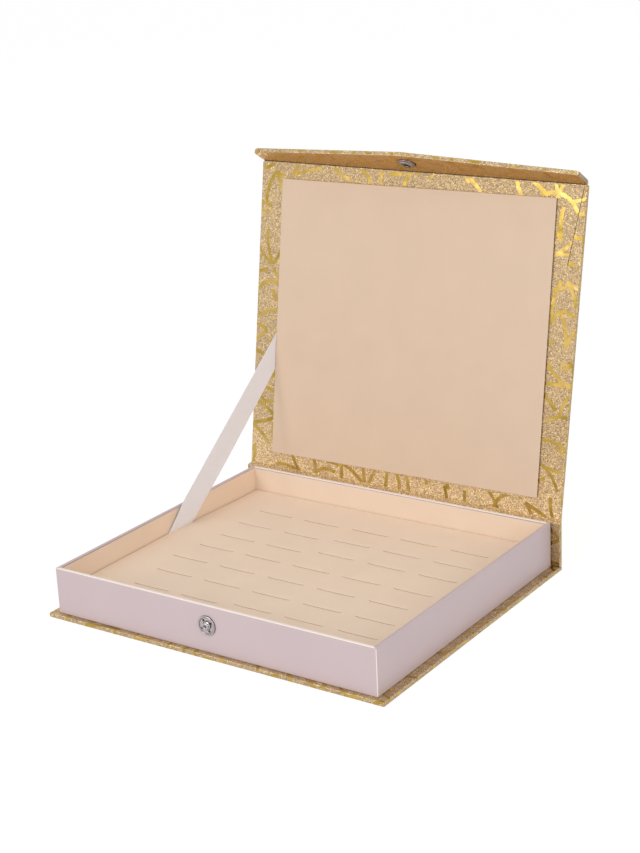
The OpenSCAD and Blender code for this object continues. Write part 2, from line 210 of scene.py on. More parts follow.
def join(bm, other):
    """Moves the faces of another mesh into this one."""
    mesh = bpy.data.meshes.new("Part")
    other.to_mesh(mesh)
    other.free()
    bm.from_mesh(mesh)
    bpy.data.meshes.remove(mesh)


def prism(plan, low_y, high_y, radius):
    """A plate between two values of Y, with a plan of (x, z) points and rounded edges."""
    bm = bmesh.new()
    near, far = ([bm.verts.new((x, y, z)) for x, z in plan] for y in (low_y, high_y))
    caps = [bm.faces.new(near), bm.faces.new(far)]
    bridge(bm, near, far)
    round_edges(bm, {e for f in caps for e in f.edges}, radius)
    return bm


def lathe(profile, steps=72):
    """Turns (radius, height) points round the Y axis; a radius of 0 closes the end."""
    bm = bmesh.new()
    angles = [2 * math.pi * k / steps for k in range(steps)]
    rings = []
    for r, h in profile:
        if r == 0:
            rings.append([bm.verts.new((0, -h, 0))] * steps)
        else:
            rings.append([bm.verts.new((r * math.cos(a), -h, r * math.sin(a))) for a in angles])
    if profile[0][0] != 0:
        rings.append(rings[0])
    for a, b in zip(rings, rings[1:]):
        for k in range(steps):
            n = (k + 1) % steps
            corners = list(dict.fromkeys((a[k], a[n], b[n], b[k])))
            if len(corners) > 2:
                bm.faces.new(corners)
    return bm


def ease(t):
    """A soft step from 0 to 1."""
    t = min(1, max(0, t))
    return t * t * (3 - 2 * t)


# ---- Materials ----


def add_node(tree, kind, settings=None, **inputs):
    """A new node. Its inputs are given by name, or as i2 for the one with index 2, and sockets are linked."""
    node = tree.nodes.new(kind)
    for key, value in (settings or {}).items():
        setattr(node, key, value)
    set_inputs(tree, node, **inputs)
    return node


def set_inputs(tree, node, **inputs):
    """Gives a node's inputs their values, or links them."""
    for key, value in inputs.items():
        name = key.replace("_", " ")
        socket = node.inputs[int(name[1:])] if name[0] == "i" and name[1:].isdigit() else node.inputs[name]
        if isinstance(value, bpy.types.NodeSocket):
            tree.links.new(value, socket)
        else:
            socket.default_value = value


class Nodes:
    """A new material and its node tree."""

    def __init__(self, name):
        self.material = bpy.data.materials.new(name)
        self.material.use_nodes = True
        self.tree = self.material.node_tree
        self.shader = self.tree.nodes["Principled BSDF"]

    def add(self, kind, settings=None, **inputs):
        return add_node(self.tree, kind, settings, **inputs)

    def paint(self, **inputs):
        """Sets the shader's inputs and gives back the material."""
        set_inputs(self.tree, self.shader, **inputs)
        return self.material

    def coordinates(self, stretch=(1, 1, 1)):
        """The piece's own coordinates in millimetres."""
        where = self.add("ShaderNodeTexCoord").outputs["Object"]
        return self.add("ShaderNodeMapping", Vector=where, Scale=[f / MM for f in stretch]).outputs["Vector"]

    def noise(self, vector, scale, detail=2.0, roughness=0.5):
        node = self.add("ShaderNodeTexNoise", Vector=vector, Scale=scale, Detail=detail, Roughness=roughness)
        return node.outputs["Fac"]

    def cells(self, vector, scale):
        """Small cells that each have a colour of their own: the colour, and its red, green and blue."""
        node = self.add("ShaderNodeTexVoronoi", {"feature": "F1"}, Vector=vector, Scale=scale, Randomness=1.0)
        colours = node.outputs["Color"]
        return colours, self.add("ShaderNodeSeparateColor", Color=colours).outputs

    def span(self, value, low, high, from_low=0.0, from_high=1.0):
        node = self.add("ShaderNodeMapRange", Value=value, From_Min=from_low, From_Max=from_high,
                        To_Min=low, To_Max=high)
        return node.outputs["Result"]

    def ramp(self, value, base, *stops):
        """Shades of one colour; each stop is its position, its factor and, if it is tinted, its tint."""
        node = self.add("ShaderNodeValToRGB", Fac=value)
        ramp = node.color_ramp
        while len(ramp.elements) < len(stops):
            ramp.elements.new(0.5)
        for element, (position, *shading) in zip(ramp.elements, stops):
            element.position = position
            element.color = shade(base, *shading)
        return node.outputs["Color"]

    def mix(self, factor, a, b, blend="MIX"):
        settings = {"data_type": "RGBA", "blend_type": blend}
        return self.add("ShaderNodeMix", settings, i0=factor, i6=a, i7=b).outputs[2]

    def vector(self, operation, *values):
        inputs = {f"i{k}": value for k, value in enumerate(values)}
        return self.add("ShaderNodeVectorMath", {"operation": operation}, **inputs).outputs["Vector"]

    def bump(self, height, strength, distance):
        return self.add("ShaderNodeBump", Height=height, Strength=strength, Distance=distance).outputs["Normal"]


def shade(base, factor, tint=(1, 1, 1)):
    """A lighter or darker colour, tinted in red, green and blue."""
    return tuple(min(1.0, c * factor * t) for c, t in zip(base[:3], tint)) + (1.0,)


FLAKES, GRAINS = 2.2, 3.6  # flakes of glitter in a millimetre, coarse and fine
PAINTED_LIGHT_HEIGHTS = (30.0, 64.0)  # the lid's covering carries painted light: it is lightest at the first height and plain from the second


def covering_material(name, tint=(1, 1, 1), contrast=1.0, glow=1.0):
    """Champagne glitter paper: tiny flakes of mixed tints that face every way.
    glow lightens it with painted light near the lid's fold."""
    n = Nodes(name)
    where = n.coordinates()
    flakes = n.cells(where, FLAKES)[1]
    facets, grains = n.cells(where, GRAINS)
    base = shade(colour("covering"), 1.0, tint)
    tints = n.ramp(flakes["Red"], base, (0.0, 0.32, (0.98, 0.96, 0.8)), (0.2, 0.64, (1.05, 0.91, 1.14)),
                   (0.4, 0.93, (0.98, 1.04, 0.72)), (0.62, 1.05, (1.08, 0.94, 1.18)),
                   (0.82, 1.4, (1.0, 1.02, 0.82)), (1.0, 2.3))
    specks = n.ramp(grains["Green"], base, (0.0, 0.36, (1.0, 0.93, 1.0)), (0.22, 0.74, (0.97, 1.02, 0.72)),
                    (0.55, 1.0), (0.8, 1.3, (1.07, 0.93, 1.14)), (1.0, 2.1))
    tone = n.mix(0.35, n.mix(contrast, base, tints), n.mix(contrast, base, specks))
    # Painted light: lighter near the lid's fold, plain higher up
    if glow > 1.0:
        height = n.add("ShaderNodeSeparateXYZ", Vector=where).outputs["Z"]
        tone = n.mix(1.0, tone, n.span(height, glow, 1.0, *PAINTED_LIGHT_HEIGHTS), "MULTIPLY")
    lean = n.vector("MULTIPLY_ADD", facets, (0.5, 0.5, 0.5), (-0.25, -0.25, -0.25))
    upright = n.add("ShaderNodeNewGeometry").outputs["Normal"]
    return n.paint(Base_Color=tone, Metallic=0.6, Roughness=n.span(grains["Blue"], 0.34, 0.6),
                   Normal=n.vector("NORMALIZE", n.vector("ADD", upright, lean)))


def foil_material(name, tint=(1, 1, 1)):
    """Pressed gold foil, a little wavy, so that each stroke catches the light in its own way; its colour also swings
    in patches between a painted darker olive shade and a painted paler highlight.
    """
    n = Nodes(name)
    where = n.coordinates()
    crinkle = n.noise(where, 0.16, 1.0)
    foil = shade(colour("foil"), 1.0, tint)
    # Painted shade and highlight: patches of darker olive and of paler foil
    tone = n.ramp(n.noise(where, 0.09), foil, (0.3, 0.74, (1.0, 0.97, 0.55)), (0.5, 1.0),
                  (0.72, 1.2, (1.0, 1.0, 1.5)))
    return n.paint(Base_Color=tone, Metallic=1.0, Roughness=n.span(crinkle, 0.22, 0.34),
                   Normal=n.bump(crinkle, 0.35, 0.0008), Coat_Weight=0.4, Coat_Roughness=0.25)


def paper_material(name):
    """Pearl paper: satin, with a faint fibre and cloudiness."""
    n = Nodes(name)
    fibres = n.noise(n.coordinates((1, 1, 0.35)), 2.6, 3.0)
    paper = colour("paper")
    tone = n.mix(n.noise(n.coordinates(), 0.035), shade(paper, 0.97, (1.0, 1.0, 1.01)),
                 shade(paper, 1.03, (1.01, 1.0, 0.99)))
    return n.paint(Base_Color=tone, Roughness=n.span(fibres, 0.3, 0.42), Normal=n.bump(fibres, 0.12, 0.0001),
                   Sheen_Weight=0.05, Specular_IOR_Level=0.5)


def suede_material(name, suede):
    """Velvety suede: matt, with a short brushed nap."""
    n = Nodes(name)
    where = n.coordinates()
    nap = n.noise(where, 3.5, 3.0, 0.6)
    patches = n.mix(n.noise(where, 0.06, 3.0), shade(suede, 0.955), shade(suede, 1.04))
    return n.paint(Base_Color=n.mix(n.span(nap, 0.0, 0.35), patches, shade(suede, 0.9)), Roughness=0.95,
                   Normal=n.bump(nap, 0.3, 0.00015), Sheen_Weight=0.12, Sheen_Roughness=0.5,
                   Sheen_Tint=shade(suede, 1.15), Specular_IOR_Level=0.15)


def satin_material(name):
    """Satin ribbon: fine threads across its width, and a soft shine along them."""
    n = Nodes(name)
    across = n.add("ShaderNodeUVMap", {"uv_map": "Ribbon"}).outputs["UV"]
    scaled = n.add("ShaderNodeMapping", Vector=across, Scale=(26.0, 900.0, 1.0)).outputs["Vector"]
    threads = n.add("ShaderNodeTexWave", {"wave_type": "BANDS", "bands_direction": "Y", "wave_profile": "SIN"},
                    Vector=scaled, Scale=0.35, Distortion=0.6, Detail=2.0).outputs["Fac"]
    tone = n.mix(threads, shade(colour("ribbon"), 0.96), colour("ribbon"))
    return n.paint(Base_Color=tone, Roughness=0.38, Normal=n.bump(threads, 0.12, 0.00005),
                   Sheen_Weight=0.25, Sheen_Roughness=0.3)


def metal_material(name, metal):
    """Nickel plate with faint smudges."""
    n = Nodes(name)
    smudges = n.noise(n.coordinates(), 0.9, 3.0)
    return n.paint(Base_Color=n.mix(smudges, shade(metal, 0.85), metal), Metallic=1.0,
                   Roughness=n.span(smudges, 0.12, 0.28))


def plain_material(name, base, low, high, tint=(1, 1, 1), roughness=0.9):
    """A matt surface that varies between two shades of a colour."""
    n = Nodes(name)
    tone = n.mix(n.noise(n.coordinates(), 2.4), shade(base, low, tint), shade(base, high, tint))
    return n.paint(Base_Color=tone, Roughness=roughness)


MAKERS = {
    "Covering": covering_material,
    # Painted light near the lid's fold
    "Lid covering": lambda name: covering_material(name, glow=1.3),
    # A warmer copy of the covering with less contrast for the flap's inside: painted warm reflected light
    "Flap lining": lambda name: covering_material(name, (1.24, 0.98, 0.62), 0.5),
    "Gold foil": foil_material,
    # A brighter, warmer copy of the foil for the flap's inside: painted warm reflected light
    "Flap lining foil": lambda name: foil_material(name, (1.5, 1.3, 1.0)),
    "Pearl paper": paper_material,
    "Satin": satin_material,
    "Suede": lambda name: suede_material(name, colour("suede")),
    "Panel suede": lambda name: suede_material(name, colour("panel")),
    # Painted shade: the slits' walls and floors darkened where shade falls
    "Slit wall": lambda name: suede_material(name, shade(colour("suede"), 0.66, (1, 0.87, 0.78))),
    "Nickel": lambda name: metal_material(name, colour("metal")),
    "Nickel in shade": lambda name: metal_material(name, shade(colour("metal"), 0.3, (1, 0.9, 0.9))),
    # Painted shade: near black for the snap's holes
    "Hole": lambda name: plain_material(name, colour("metal"), 0.02, 0.05),
    # Painted highlight along the tray's rim
    "Rubbed edge": lambda name: plain_material(name, colour("rim_highlight"), 0.94, 1.04, roughness=0.45),
    # Painted shade: the covering darkened for creases, grooves and gaps where shade falls
    "Crease": lambda name: plain_material(name, colour("covering"), 0.16, 0.3, (1, 0.8, 0.6)),
    "Greyboard": lambda name: plain_material(name, colour("board"), 0.8, 1.1, roughness=0.95),
}


def material(name):
    """The material of this name, made the first time it is asked for."""
    return bpy.data.materials.get(name) or MAKERS[name](name)


# ---- Gold foil strokes ----

SKIN = 0.04  # how far the foil stands above the covering; boards are drawn thinner by it
FOIL_HEIGHT = 0.03
LAYER = 0.0007  # the strokes of a sprig lie this share of their reach above each other

# Each sprig is a few strokes from (x, y) to (x, y) with a bend, in shares of the reach
SPRIGS = (
    ((-0.95, -0.1, 0.35, 0.95, 0.1), (-0.95, -0.1, 0.95, 0.25, 0.06), (-0.95, -0.1, 0.6, -0.85, -0.1)),
    ((-0.9, -0.7, -0.45, 0.85, 0.05), (0.4, -0.8, -0.45, 0.85, -0.06), (0.4, -0.8, 0.95, 0.75, 0.1)),
    ((0.0, -0.95, -0.8, 0.75, -0.08), (0.0, -0.95, 0.75, 0.8, 0.08), (-0.45, 0.98, 1.0, 0.5, -0.2)),
    ((0.8, 0.9, -0.9, 0.6, 0.12), (0.8, 0.9, -0.75, -0.75, -0.05), (-0.75, -0.75, 0.95, -0.5, 0.1)),
    ((-0.95, 0.3, 0.9, 0.5, 0.22), (0.85, -0.9, -0.9, -0.6, -0.12), (0.85, -0.9, 0.2, 0.4, 0.06)),
    ((0.9, 0.0, -0.7, 0.9, -0.1), (0.9, 0.0, -0.95, -0.05, 0.04), (0.9, 0.0, -0.55, -0.95, 0.12)),
)


def foil_tree():
    """Sprigs of tapered strokes, spread evenly over a flat sheet and turned every way."""
    tree = bpy.data.node_groups.new("Foil strokes", "GeometryNodeTree")
    for name, kind, default in (
        ("Width", "Float", 200.0), ("Length", "Float", 200.0), ("Spacing", "Float", 16.8),
        ("Reach", "Float", 11.4), ("Stroke Width", "Float", 1.95), ("Height", "Float", FOIL_HEIGHT),
        ("Seed", "Int", 1), ("Foil", "Material", None),
    ):
        socket = tree.interface.new_socket(name, in_out="INPUT", socket_type="NodeSocket" + kind)
        if default is not None:
            socket.default_value = default
    tree.interface.new_socket("Geometry", in_out="OUTPUT", socket_type="NodeSocketGeometry")
    given = tree.nodes.new("NodeGroupInput").outputs
    out = tree.nodes.new("NodeGroupOutput")

    def add(kind, settings=None, **inputs):
        return add_node(tree, kind, settings, **inputs)

    def times(a, b):
        return add("ShaderNodeMath", {"operation": "MULTIPLY"}, i0=a, i1=b).outputs[0]

    def point(x, y):
        return add("ShaderNodeCombineXYZ", X=x, Y=y, Z=0.0).outputs[0]

    def reached(x, y, layer):
        share = (x, y, LAYER * layer)
        return add("ShaderNodeVectorMath", {"operation": "SCALE"}, i0=share, Scale=given["Reach"]).outputs[0]

    # The cross-section of a stroke, a little narrower at its top
    foot, top = times(given["Stroke Width"], 0.5), times(given["Stroke Width"], 0.43)
    down = times(given["Height"], -0.6)
    outline = add("GeometryNodeCurvePrimitiveQuadrilateral", {"mode": "POINTS"},
                  Point_1=point(times(foot, -1.0), down), Point_2=point(foot, down),
                  Point_3=point(top, given["Height"]), Point_4=point(times(top, -1.0), given["Height"]))
    along = add("GeometryNodeSplineParameter").outputs["Factor"]
    taper = add("ShaderNodeMath", {"operation": "MULTIPLY_ADD"}, i0=along, i1=0.18, i2=0.82).outputs[0]

    sprigs = tree.nodes.new("GeometryNodeJoinGeometry")
    for sprig in reversed(SPRIGS):
        strokes = tree.nodes.new("GeometryNodeJoinGeometry")
        for layer, (x0, y0, x1, y1, bend) in enumerate(sprig):
            middle = ((x0 + x1) / 2 - (y1 - y0) * bend * 2, (y0 + y1) / 2 + (x1 - x0) * bend * 2)
            line = add("GeometryNodeCurveQuadraticBezier", Resolution=8, Start=reached(x0, y0, layer),
                       Middle=reached(*middle, layer), End=reached(x1, y1, layer))
            upright = add("GeometryNodeSetCurveNormal", {"mode": "Z_UP"}, Curve=line.outputs[0])
            widths = add("GeometryNodeSetCurveRadius", Curve=upright.outputs[0], Radius=taper)
            solid = add("GeometryNodeCurveToMesh", Curve=widths.outputs[0], Profile_Curve=outline.outputs[0],
                        Fill_Caps=True)
            tree.links.new(solid.outputs[0], strokes.inputs[0])
        one = add("GeometryNodeGeometryToInstance", Geometry=strokes.outputs[0])
        tree.links.new(one.outputs[0], sprigs.inputs[0])

    sheet = add("GeometryNodeMeshGrid", Size_X=given["Width"], Size_Y=given["Length"], Vertices_X=2, Vertices_Y=2)
    spread = add("GeometryNodeDistributePointsOnFaces", {"distribute_method": "POISSON"},
                 Mesh=sheet.outputs["Mesh"], Distance_Min=given["Spacing"], Density_Max=0.06, Seed=given["Seed"])
    # Random sprig, turn and scale: each kind of value has its own pair of inputs for the least and the most
    pick = add("FunctionNodeRandomValue", {"data_type": "INT"}, Seed=given["Seed"], i4=0, i5=len(SPRIGS) - 1)
    turn = add("FunctionNodeRandomValue", {"data_type": "FLOAT_VECTOR"}, Seed=given["Seed"],
               i0=(0, 0, 0), i1=(0, 0, 2 * math.pi))
    scale = add("FunctionNodeRandomValue", {"data_type": "FLOAT"}, Seed=given["Seed"], i2=0.85, i3=1.08)
    placed = add("GeometryNodeInstanceOnPoints", Points=spread.outputs["Points"], Instance=sprigs.outputs[0],
                 Pick_Instance=True, Instance_Index=pick.outputs[2], Rotation=turn.outputs[0],
                 Scale=scale.outputs[1])
    real = add("GeometryNodeRealizeInstances", Geometry=placed.outputs[0])
    painted = add("GeometryNodeSetMaterial", Geometry=real.outputs[0], Material=given["Foil"])
    tree.links.new(painted.outputs[0], out.inputs["Geometry"])
    return tree


def foil_sheet(width, length, number):
    """Points and faces of the strokes on a flat sheet, centred on its origin."""
    tree = bpy.data.node_groups.get("Foil strokes") or foil_tree()
    carrier = bpy.data.objects.new("Foil sheet", bpy.data.meshes.new("Foil sheet"))
    bpy.context.scene.collection.objects.link(carrier)
    modifier = carrier.modifiers.new("Strokes", "NODES")
    modifier.node_group = tree
    values = {
        "Width": width, "Length": length, "Spacing": size("sprig_spacing"), "Reach": size("stroke_reach"),
        "Stroke Width": size("stroke_width"), "Foil": material("Gold foil"),
        "Seed": bpy.context.scene.ring_box_sizes.foil_seed * 10 + number,
    }
    for item in tree.interface.items_tree:
        if item.name in values:
            modifier[item.identifier] = values[item.name]
    mesh = baked_mesh(carrier)
    points = [v.co.copy() for v in mesh.vertices]
    faces = [tuple(p.vertices) for p in mesh.polygons]
    carrier.modifiers.clear()
    bpy.data.objects.remove(carrier)
    bpy.data.meshes.remove(mesh)
    return points, faces


def outline_planes(plan):
    """The sides of a convex outline on the sheet as (point, outward direction)."""
    middle = sum((Vector(p) for p in plan), Vector((0, 0))) / len(plan)
    planes = []
    for a, b in zip(plan, plan[1:] + plan[:1]):
        a, b = Vector(a), Vector(b)
        out = Vector((b.y - a.y, a.x - b.x))
        if out.length < 1e-6:
            continue
        if out.dot(a - middle) < 0:
            out = -out
        planes.append((Vector((*a, 0)), Vector((*out.normalized(), 0))))
    return planes


def lay_foil(bm, sheet, plan, place):
    """Cuts the sheet's strokes to a convex outline and lays them on a face of the covering."""
    points, faces = sheet
    planes = outline_planes(plan)
    margin = 2.5  # strokes this far outside the outline are left out before the cut
    inside = [all((p - at).dot(out) < margin for at, out in planes) for p in points]
    piece = bmesh.new()
    used = {}
    for face in faces:
        if any(inside[i] for i in face):
            for i in face:
                if i not in used:
                    used[i] = piece.verts.new(points[i])
            piece.faces.new([used[i] for i in face])
    for at, out in planes:
        everything = piece.verts[:] + piece.edges[:] + piece.faces[:]
        cut = bmesh.ops.bisect_plane(piece, geom=everything, plane_co=at, plane_no=out, clear_outer=True)
        rim = [e for e in cut["geom_cut"] if isinstance(e, bmesh.types.BMEdge)]
        if rim:
            bmesh.ops.holes_fill(piece, edges=rim, sides=8)
    piece.transform(place)
    join(bm, piece)


def face_place(origin, along_x, along_y):
    """A matrix that puts the sheet's x and y on two directions from an origin."""
    sides = Matrix((along_x, along_y, along_x.cross(along_y))).transposed().to_4x4()
    return Matrix.Translation(Vector(origin)) @ sides


def rectangle(low_x, low_y, high_x, high_y):
    return [(low_x, low_y), (high_x, low_y), (high_x, high_y), (low_x, high_y)]


def fold_over(bm, sheet, path, along, reach, start, axis):
    """Lays the sheet over an edge, facet by facet. path is its cross-section at reach 0; the sheet's
    coordinate there is start, and grows along axis (+1 or -1 for x, +2 or -2 for y)."""
    sign = 1 if axis > 0 else -1
    at = start
    for a, b in zip(path, path[1:]):
        step = (b - a).length
        grows = (b - a) / step * sign
        low, high = sorted((at, at + sign * step))
        if abs(axis) == 1:
            plan, sides = rectangle(low, reach[0], high, reach[1]), (grows, along)
        else:
            plan, sides = rectangle(reach[0], low, reach[1], high), (along, grows)
        lay_foil(bm, sheet, plan, face_place(a - grows * at, *sides))
        at += sign * step


def rounded_path(corners, radius, segments=3):
    """Points of a line through the corners, with each corner between its ends rounded."""
    corners = [Vector(corner) for corner in corners]
    points = [corners[0]]
    for before, corner, after in zip(corners, corners[1:], corners[2:]):
        a = corner + (before - corner).normalized() * radius
        b = corner + (after - corner).normalized() * radius
        middle = a + b - corner
        for k in range(segments + 1):
            t = math.pi / 2 * k / segments
            points.append(middle + (a - middle) * math.cos(t) + (b - middle) * math.sin(t))
    return points + [corners[-1]]


def foil_piece(name, bm, place, body, *more):
    """Finishes the strokes of one body; more holds other materials than plain foil."""
    piece = finish_mesh(name, bm, place, ["Gold foil", *more], sharp=35)
    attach(piece, body)


def wrap_board(bm, sheet, half, outer, inner, low, tall, sheet_low):
    """Strokes on the outer face of an upright board and round its two side edges."""
    edge = size("edge")
    flat, lift = half - edge, low - sheet_low
    reach = (sheet_low, sheet_low + tall)
    lay_foil(bm, sheet, rectangle(-flat, reach[0], flat, reach[1]), face_place((0, outer, lift), -X, Z))
    for side in (-1, 1):
        corners = ((flat, outer), (half, outer), (half, inner), (half - 1, inner))
        path = rounded_path([(side * x, y, lift) for x, y in corners], edge)[1:-1]
        fold_over(bm, sheet, path, Z, reach, -side * flat, -side)


SIDE_MARGIN, FRONT_MARGIN, SPINE_MARGIN = 5.2, 3.0, 5.8  # how far the strokes run in beside the tray
# Where the boards lie on their sheets: the sheet's y at their lower edge, and at the lid's fold line
SPINE_AT, SPINE_INSIDE_AT, LID_AT, LINER_AT = -110, -60, -80, -88


def foil_case(base_sheet, outer_sheet):
    """Underside, edges with the margin round the tray, and the spine."""
    edge = size("edge")
    low, high = local_box("base_cover", WORLD)
    half, front, thick = high.x - SKIN, low.y + SKIN, high.z - SKIN
    spine_low, spine_high = local_box("spine_cover", WORLD)
    inside, rear, flat = spine_low.y + SKIN, spine_high.y - SKIN, half - edge
    reach = (front + edge, spine_low.y - edge)
    bm = bmesh.new()
    lay_foil(bm, base_sheet, rectangle(-flat, reach[0], flat, reach[1]), face_place((0, 0, SKIN), -X, Y))
    for side in (-1, 1):
        corners = ((flat, SKIN), (half, SKIN), (half, thick), (half - SIDE_MARGIN, thick))
        path = rounded_path([(side * x, 0, z) for x, z in corners], edge)[1:]
        fold_over(bm, base_sheet, path, Y, reach, side * flat, side)
    corners = ((front + edge, SKIN), (front, SKIN), (front, thick), (front + FRONT_MARGIN, thick))
    path = rounded_path([(0, y, z) for y, z in corners], edge)[1:]
    fold_over(bm, base_sheet, path, X, (-flat, flat), front + edge, -2)
    wrap_board(bm, outer_sheet, half, rear, inside, edge, spine_high.z - 2 * edge, SPINE_AT)
    tall = spine_high.z - thick - edge
    for side in (-1, 1):
        x_low, x_high = sorted((side * flat, side * (half - SPINE_MARGIN)))
        lay_foil(bm, base_sheet, rectangle(x_low, SPINE_INSIDE_AT, x_high, SPINE_INSIDE_AT + tall),
                 face_place((0, inside, thick - SPINE_INSIDE_AT), X, Z))
    foil_piece("case_foil", bm, WORLD, "case")


LID_TAPER = 0.0105  # the lid is cut a little narrower at its fold than at its top

# The end of the lid's right turn-in, a slanted edge, as (x, z) in the lid's frame
SEAM = ((92.2, 131.8), (98.1, 171.9))


def taper_lid(bm, top):
    """Narrows a piece of the lid towards the fold; top is its height, where it keeps its width."""
    for v in bm.verts:
        v.co.x *= 1 - LID_TAPER * (1 - v.co.z / top)


def foil_lid(base_sheet, outer_sheet, liner_sheet):
    """Outer face, side edges, and the inner sheet round the panel, up to the slanted end of the turn-in."""
    edge = size("edge")
    half = local_box("base_cover", WORLD)[1].x - SKIN
    low, high = local_box("lid_cover", LID)
    inner, outer, flat = low.y + SKIN, high.y - SKIN, half - edge
    z_low, z_high = low.z + edge, high.z - edge
    bm = bmesh.new()
    wrap_board(bm, outer_sheet, half, outer, inner, z_low, z_high - z_low, LID_AT)
    (seam_x, seam_z), (corner_x, _) = SEAM
    left, right, under, over = -84.9, 84.9, 9.4, 165.1  # just outside the panel
    areas = (
        (liner_sheet, rectangle(-flat, z_low, left, z_high)),
        (liner_sheet, rectangle(left, z_low, right, under)),
        (liner_sheet, rectangle(left, over, right, z_high)),
        (liner_sheet, rectangle(right, z_low, flat, seam_z)),
        (liner_sheet, [(right, seam_z), (seam_x - 0.1, seam_z), (corner_x - 0.1, z_high), (right, z_high)]),
        (base_sheet, [(seam_x + 0.2, seam_z), (flat, seam_z), (flat, z_high), (corner_x + 0.2, z_high)]),
    )
    for sheet, plan in areas:
        lay_foil(bm, sheet, [(x, z + LINER_AT) for x, z in plan], face_place((0, inner, -LINER_AT), X, Z))
    taper_lid(bm, high.z)
    foil_piece("lid_foil", bm, LID, "lid")


FLAP_HALF = 1.2  # half the flap's thickness
FLAP_TIP, FLAP_END = 21.0, 12.0  # its depth in the middle and at its ends
FLAP_SIDE = 97.5  # the strokes on its slanted edges end this far from the middle


def flap_plan(inset):
    """The flap's outline as (x, z) points: a blunt point in the middle and rounded free corners.
    The hand-cut ends differ: the left one reaches further out at its free corner, the right one at its root."""
    tip = local_box("flap_cover", FLAP)[1].z
    half = local_box("lid_cover", LID)[1].x
    slope = math.atan2(tip - FLAP_END, half)
    low = 1.3 + inset
    sides = []
    for free, corner in ((half - 1.0, 1.4), (half, 2.6)):
        radius = max(0.05, corner - inset)
        turns = [(math.pi / 2 - slope) * step / 6 for step in range(7)]
        middle_x, middle_z = free - corner, FLAP_END - corner
        sides.append([(middle_x + radius * math.cos(a), middle_z + radius * math.sin(a)) for a in turns])
    left = [(-x, z) for x, z in reversed(sides[1])]
    return [(half - 0.2 - inset, low)] + sides[0] + [(0, tip - inset)] + left + [(-half + 0.4 + inset, low)]


def foil_flap(sheet):
    """Both faces and the slanted free edges."""
    bm = bmesh.new()
    for facing, x_axis, shift in ((1, -X, 14), (-1, X, -12)):
        plan = [(x * x_axis.x, z + shift) for x, z in flap_plan(size("edge"))]
        lay_foil(bm, sheet, plan, face_place((0, facing * (FLAP_HALF - SKIN), -shift), x_axis, Z))
    # Strokes on the inner face get the foil with painted warm reflected light
    for face in bm.faces:
        face.material_index = 1 if face.calc_center_median().y < 0 else 0
    tip = Vector((0, 0, FLAP_TIP - SKIN))
    for side in (-1, 1):
        edge = Vector((side * FLAP_SIDE, 0, FLAP_END - SKIN)) - tip
        along = edge.normalized()
        out = Vector((-along.z * side, 0, along.x * side))
        lay_foil(bm, sheet, rectangle(0.3, -0.75, edge.length, 0.75), face_place(tip, along, out.cross(along)))
    foil_piece("flap_foil", bm, FLAP, "flap", "Flap lining foil")


def build_foil():
    """All the strokes: the outer sheet that goes round the whole box, the turn-ins, and the lid's inner sheet.
    Each sheet has its width, its length and a number that gives it a layout of its own."""
    base_sheet = foil_sheet(215, 205, 1)
    outer_sheet = foil_sheet(220, 240, 2)
    foil_case(base_sheet, outer_sheet)
    foil_lid(base_sheet, outer_sheet, foil_sheet(215, 185, 3))
    foil_flap(foil_sheet(215, 60, 4))


# ---- Pieces ----


def add_shade_strip(bm, place):
    """A thin strip of painted shade, the unit cube put in its place by a matrix."""
    strip = bmesh.ops.create_cube(bm, size=1, matrix=place)
    for face in {f for v in strip["verts"] for f in v.link_faces}:
        face.material_index = 1


def build_case_covering():
    """The covering round the base and the spine, with strips of painted shade in the creases where the two meet
    beside the tray.
    """
    skin = Vector((SKIN, SKIN, SKIN))
    low, high = local_box("base_cover", WORLD)
    base = finish_mesh("base_covering", slab(low + skin, high - skin, size("edge")), WORLD, ["Covering"])
    tray = local_box("tray_wrap", WORLD)[1]
    low, high = local_box("spine_cover", WORLD)
    bm = slab(low + skin, high - skin, size("edge"))
    end, deep, tall = high.x - 0.4, 0.08, 0.7
    # Strips of painted shade along the foot of the spine beside the tray
    for side in (-1, 1):
        middle = Vector((side * (tray.x + end) / 2, low.y + deep / 2, 2.4 + tall / 2))
        add_shade_strip(bm, block_place(middle, (end - tray.x, deep, tall)))
    spine = finish_mesh("spine_covering", bm, WORLD, ["Covering", "Crease"])
    for piece, node in ((base, "base_cover"), (spine, "spine_cover")):
        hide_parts(node)
        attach(piece, "case")


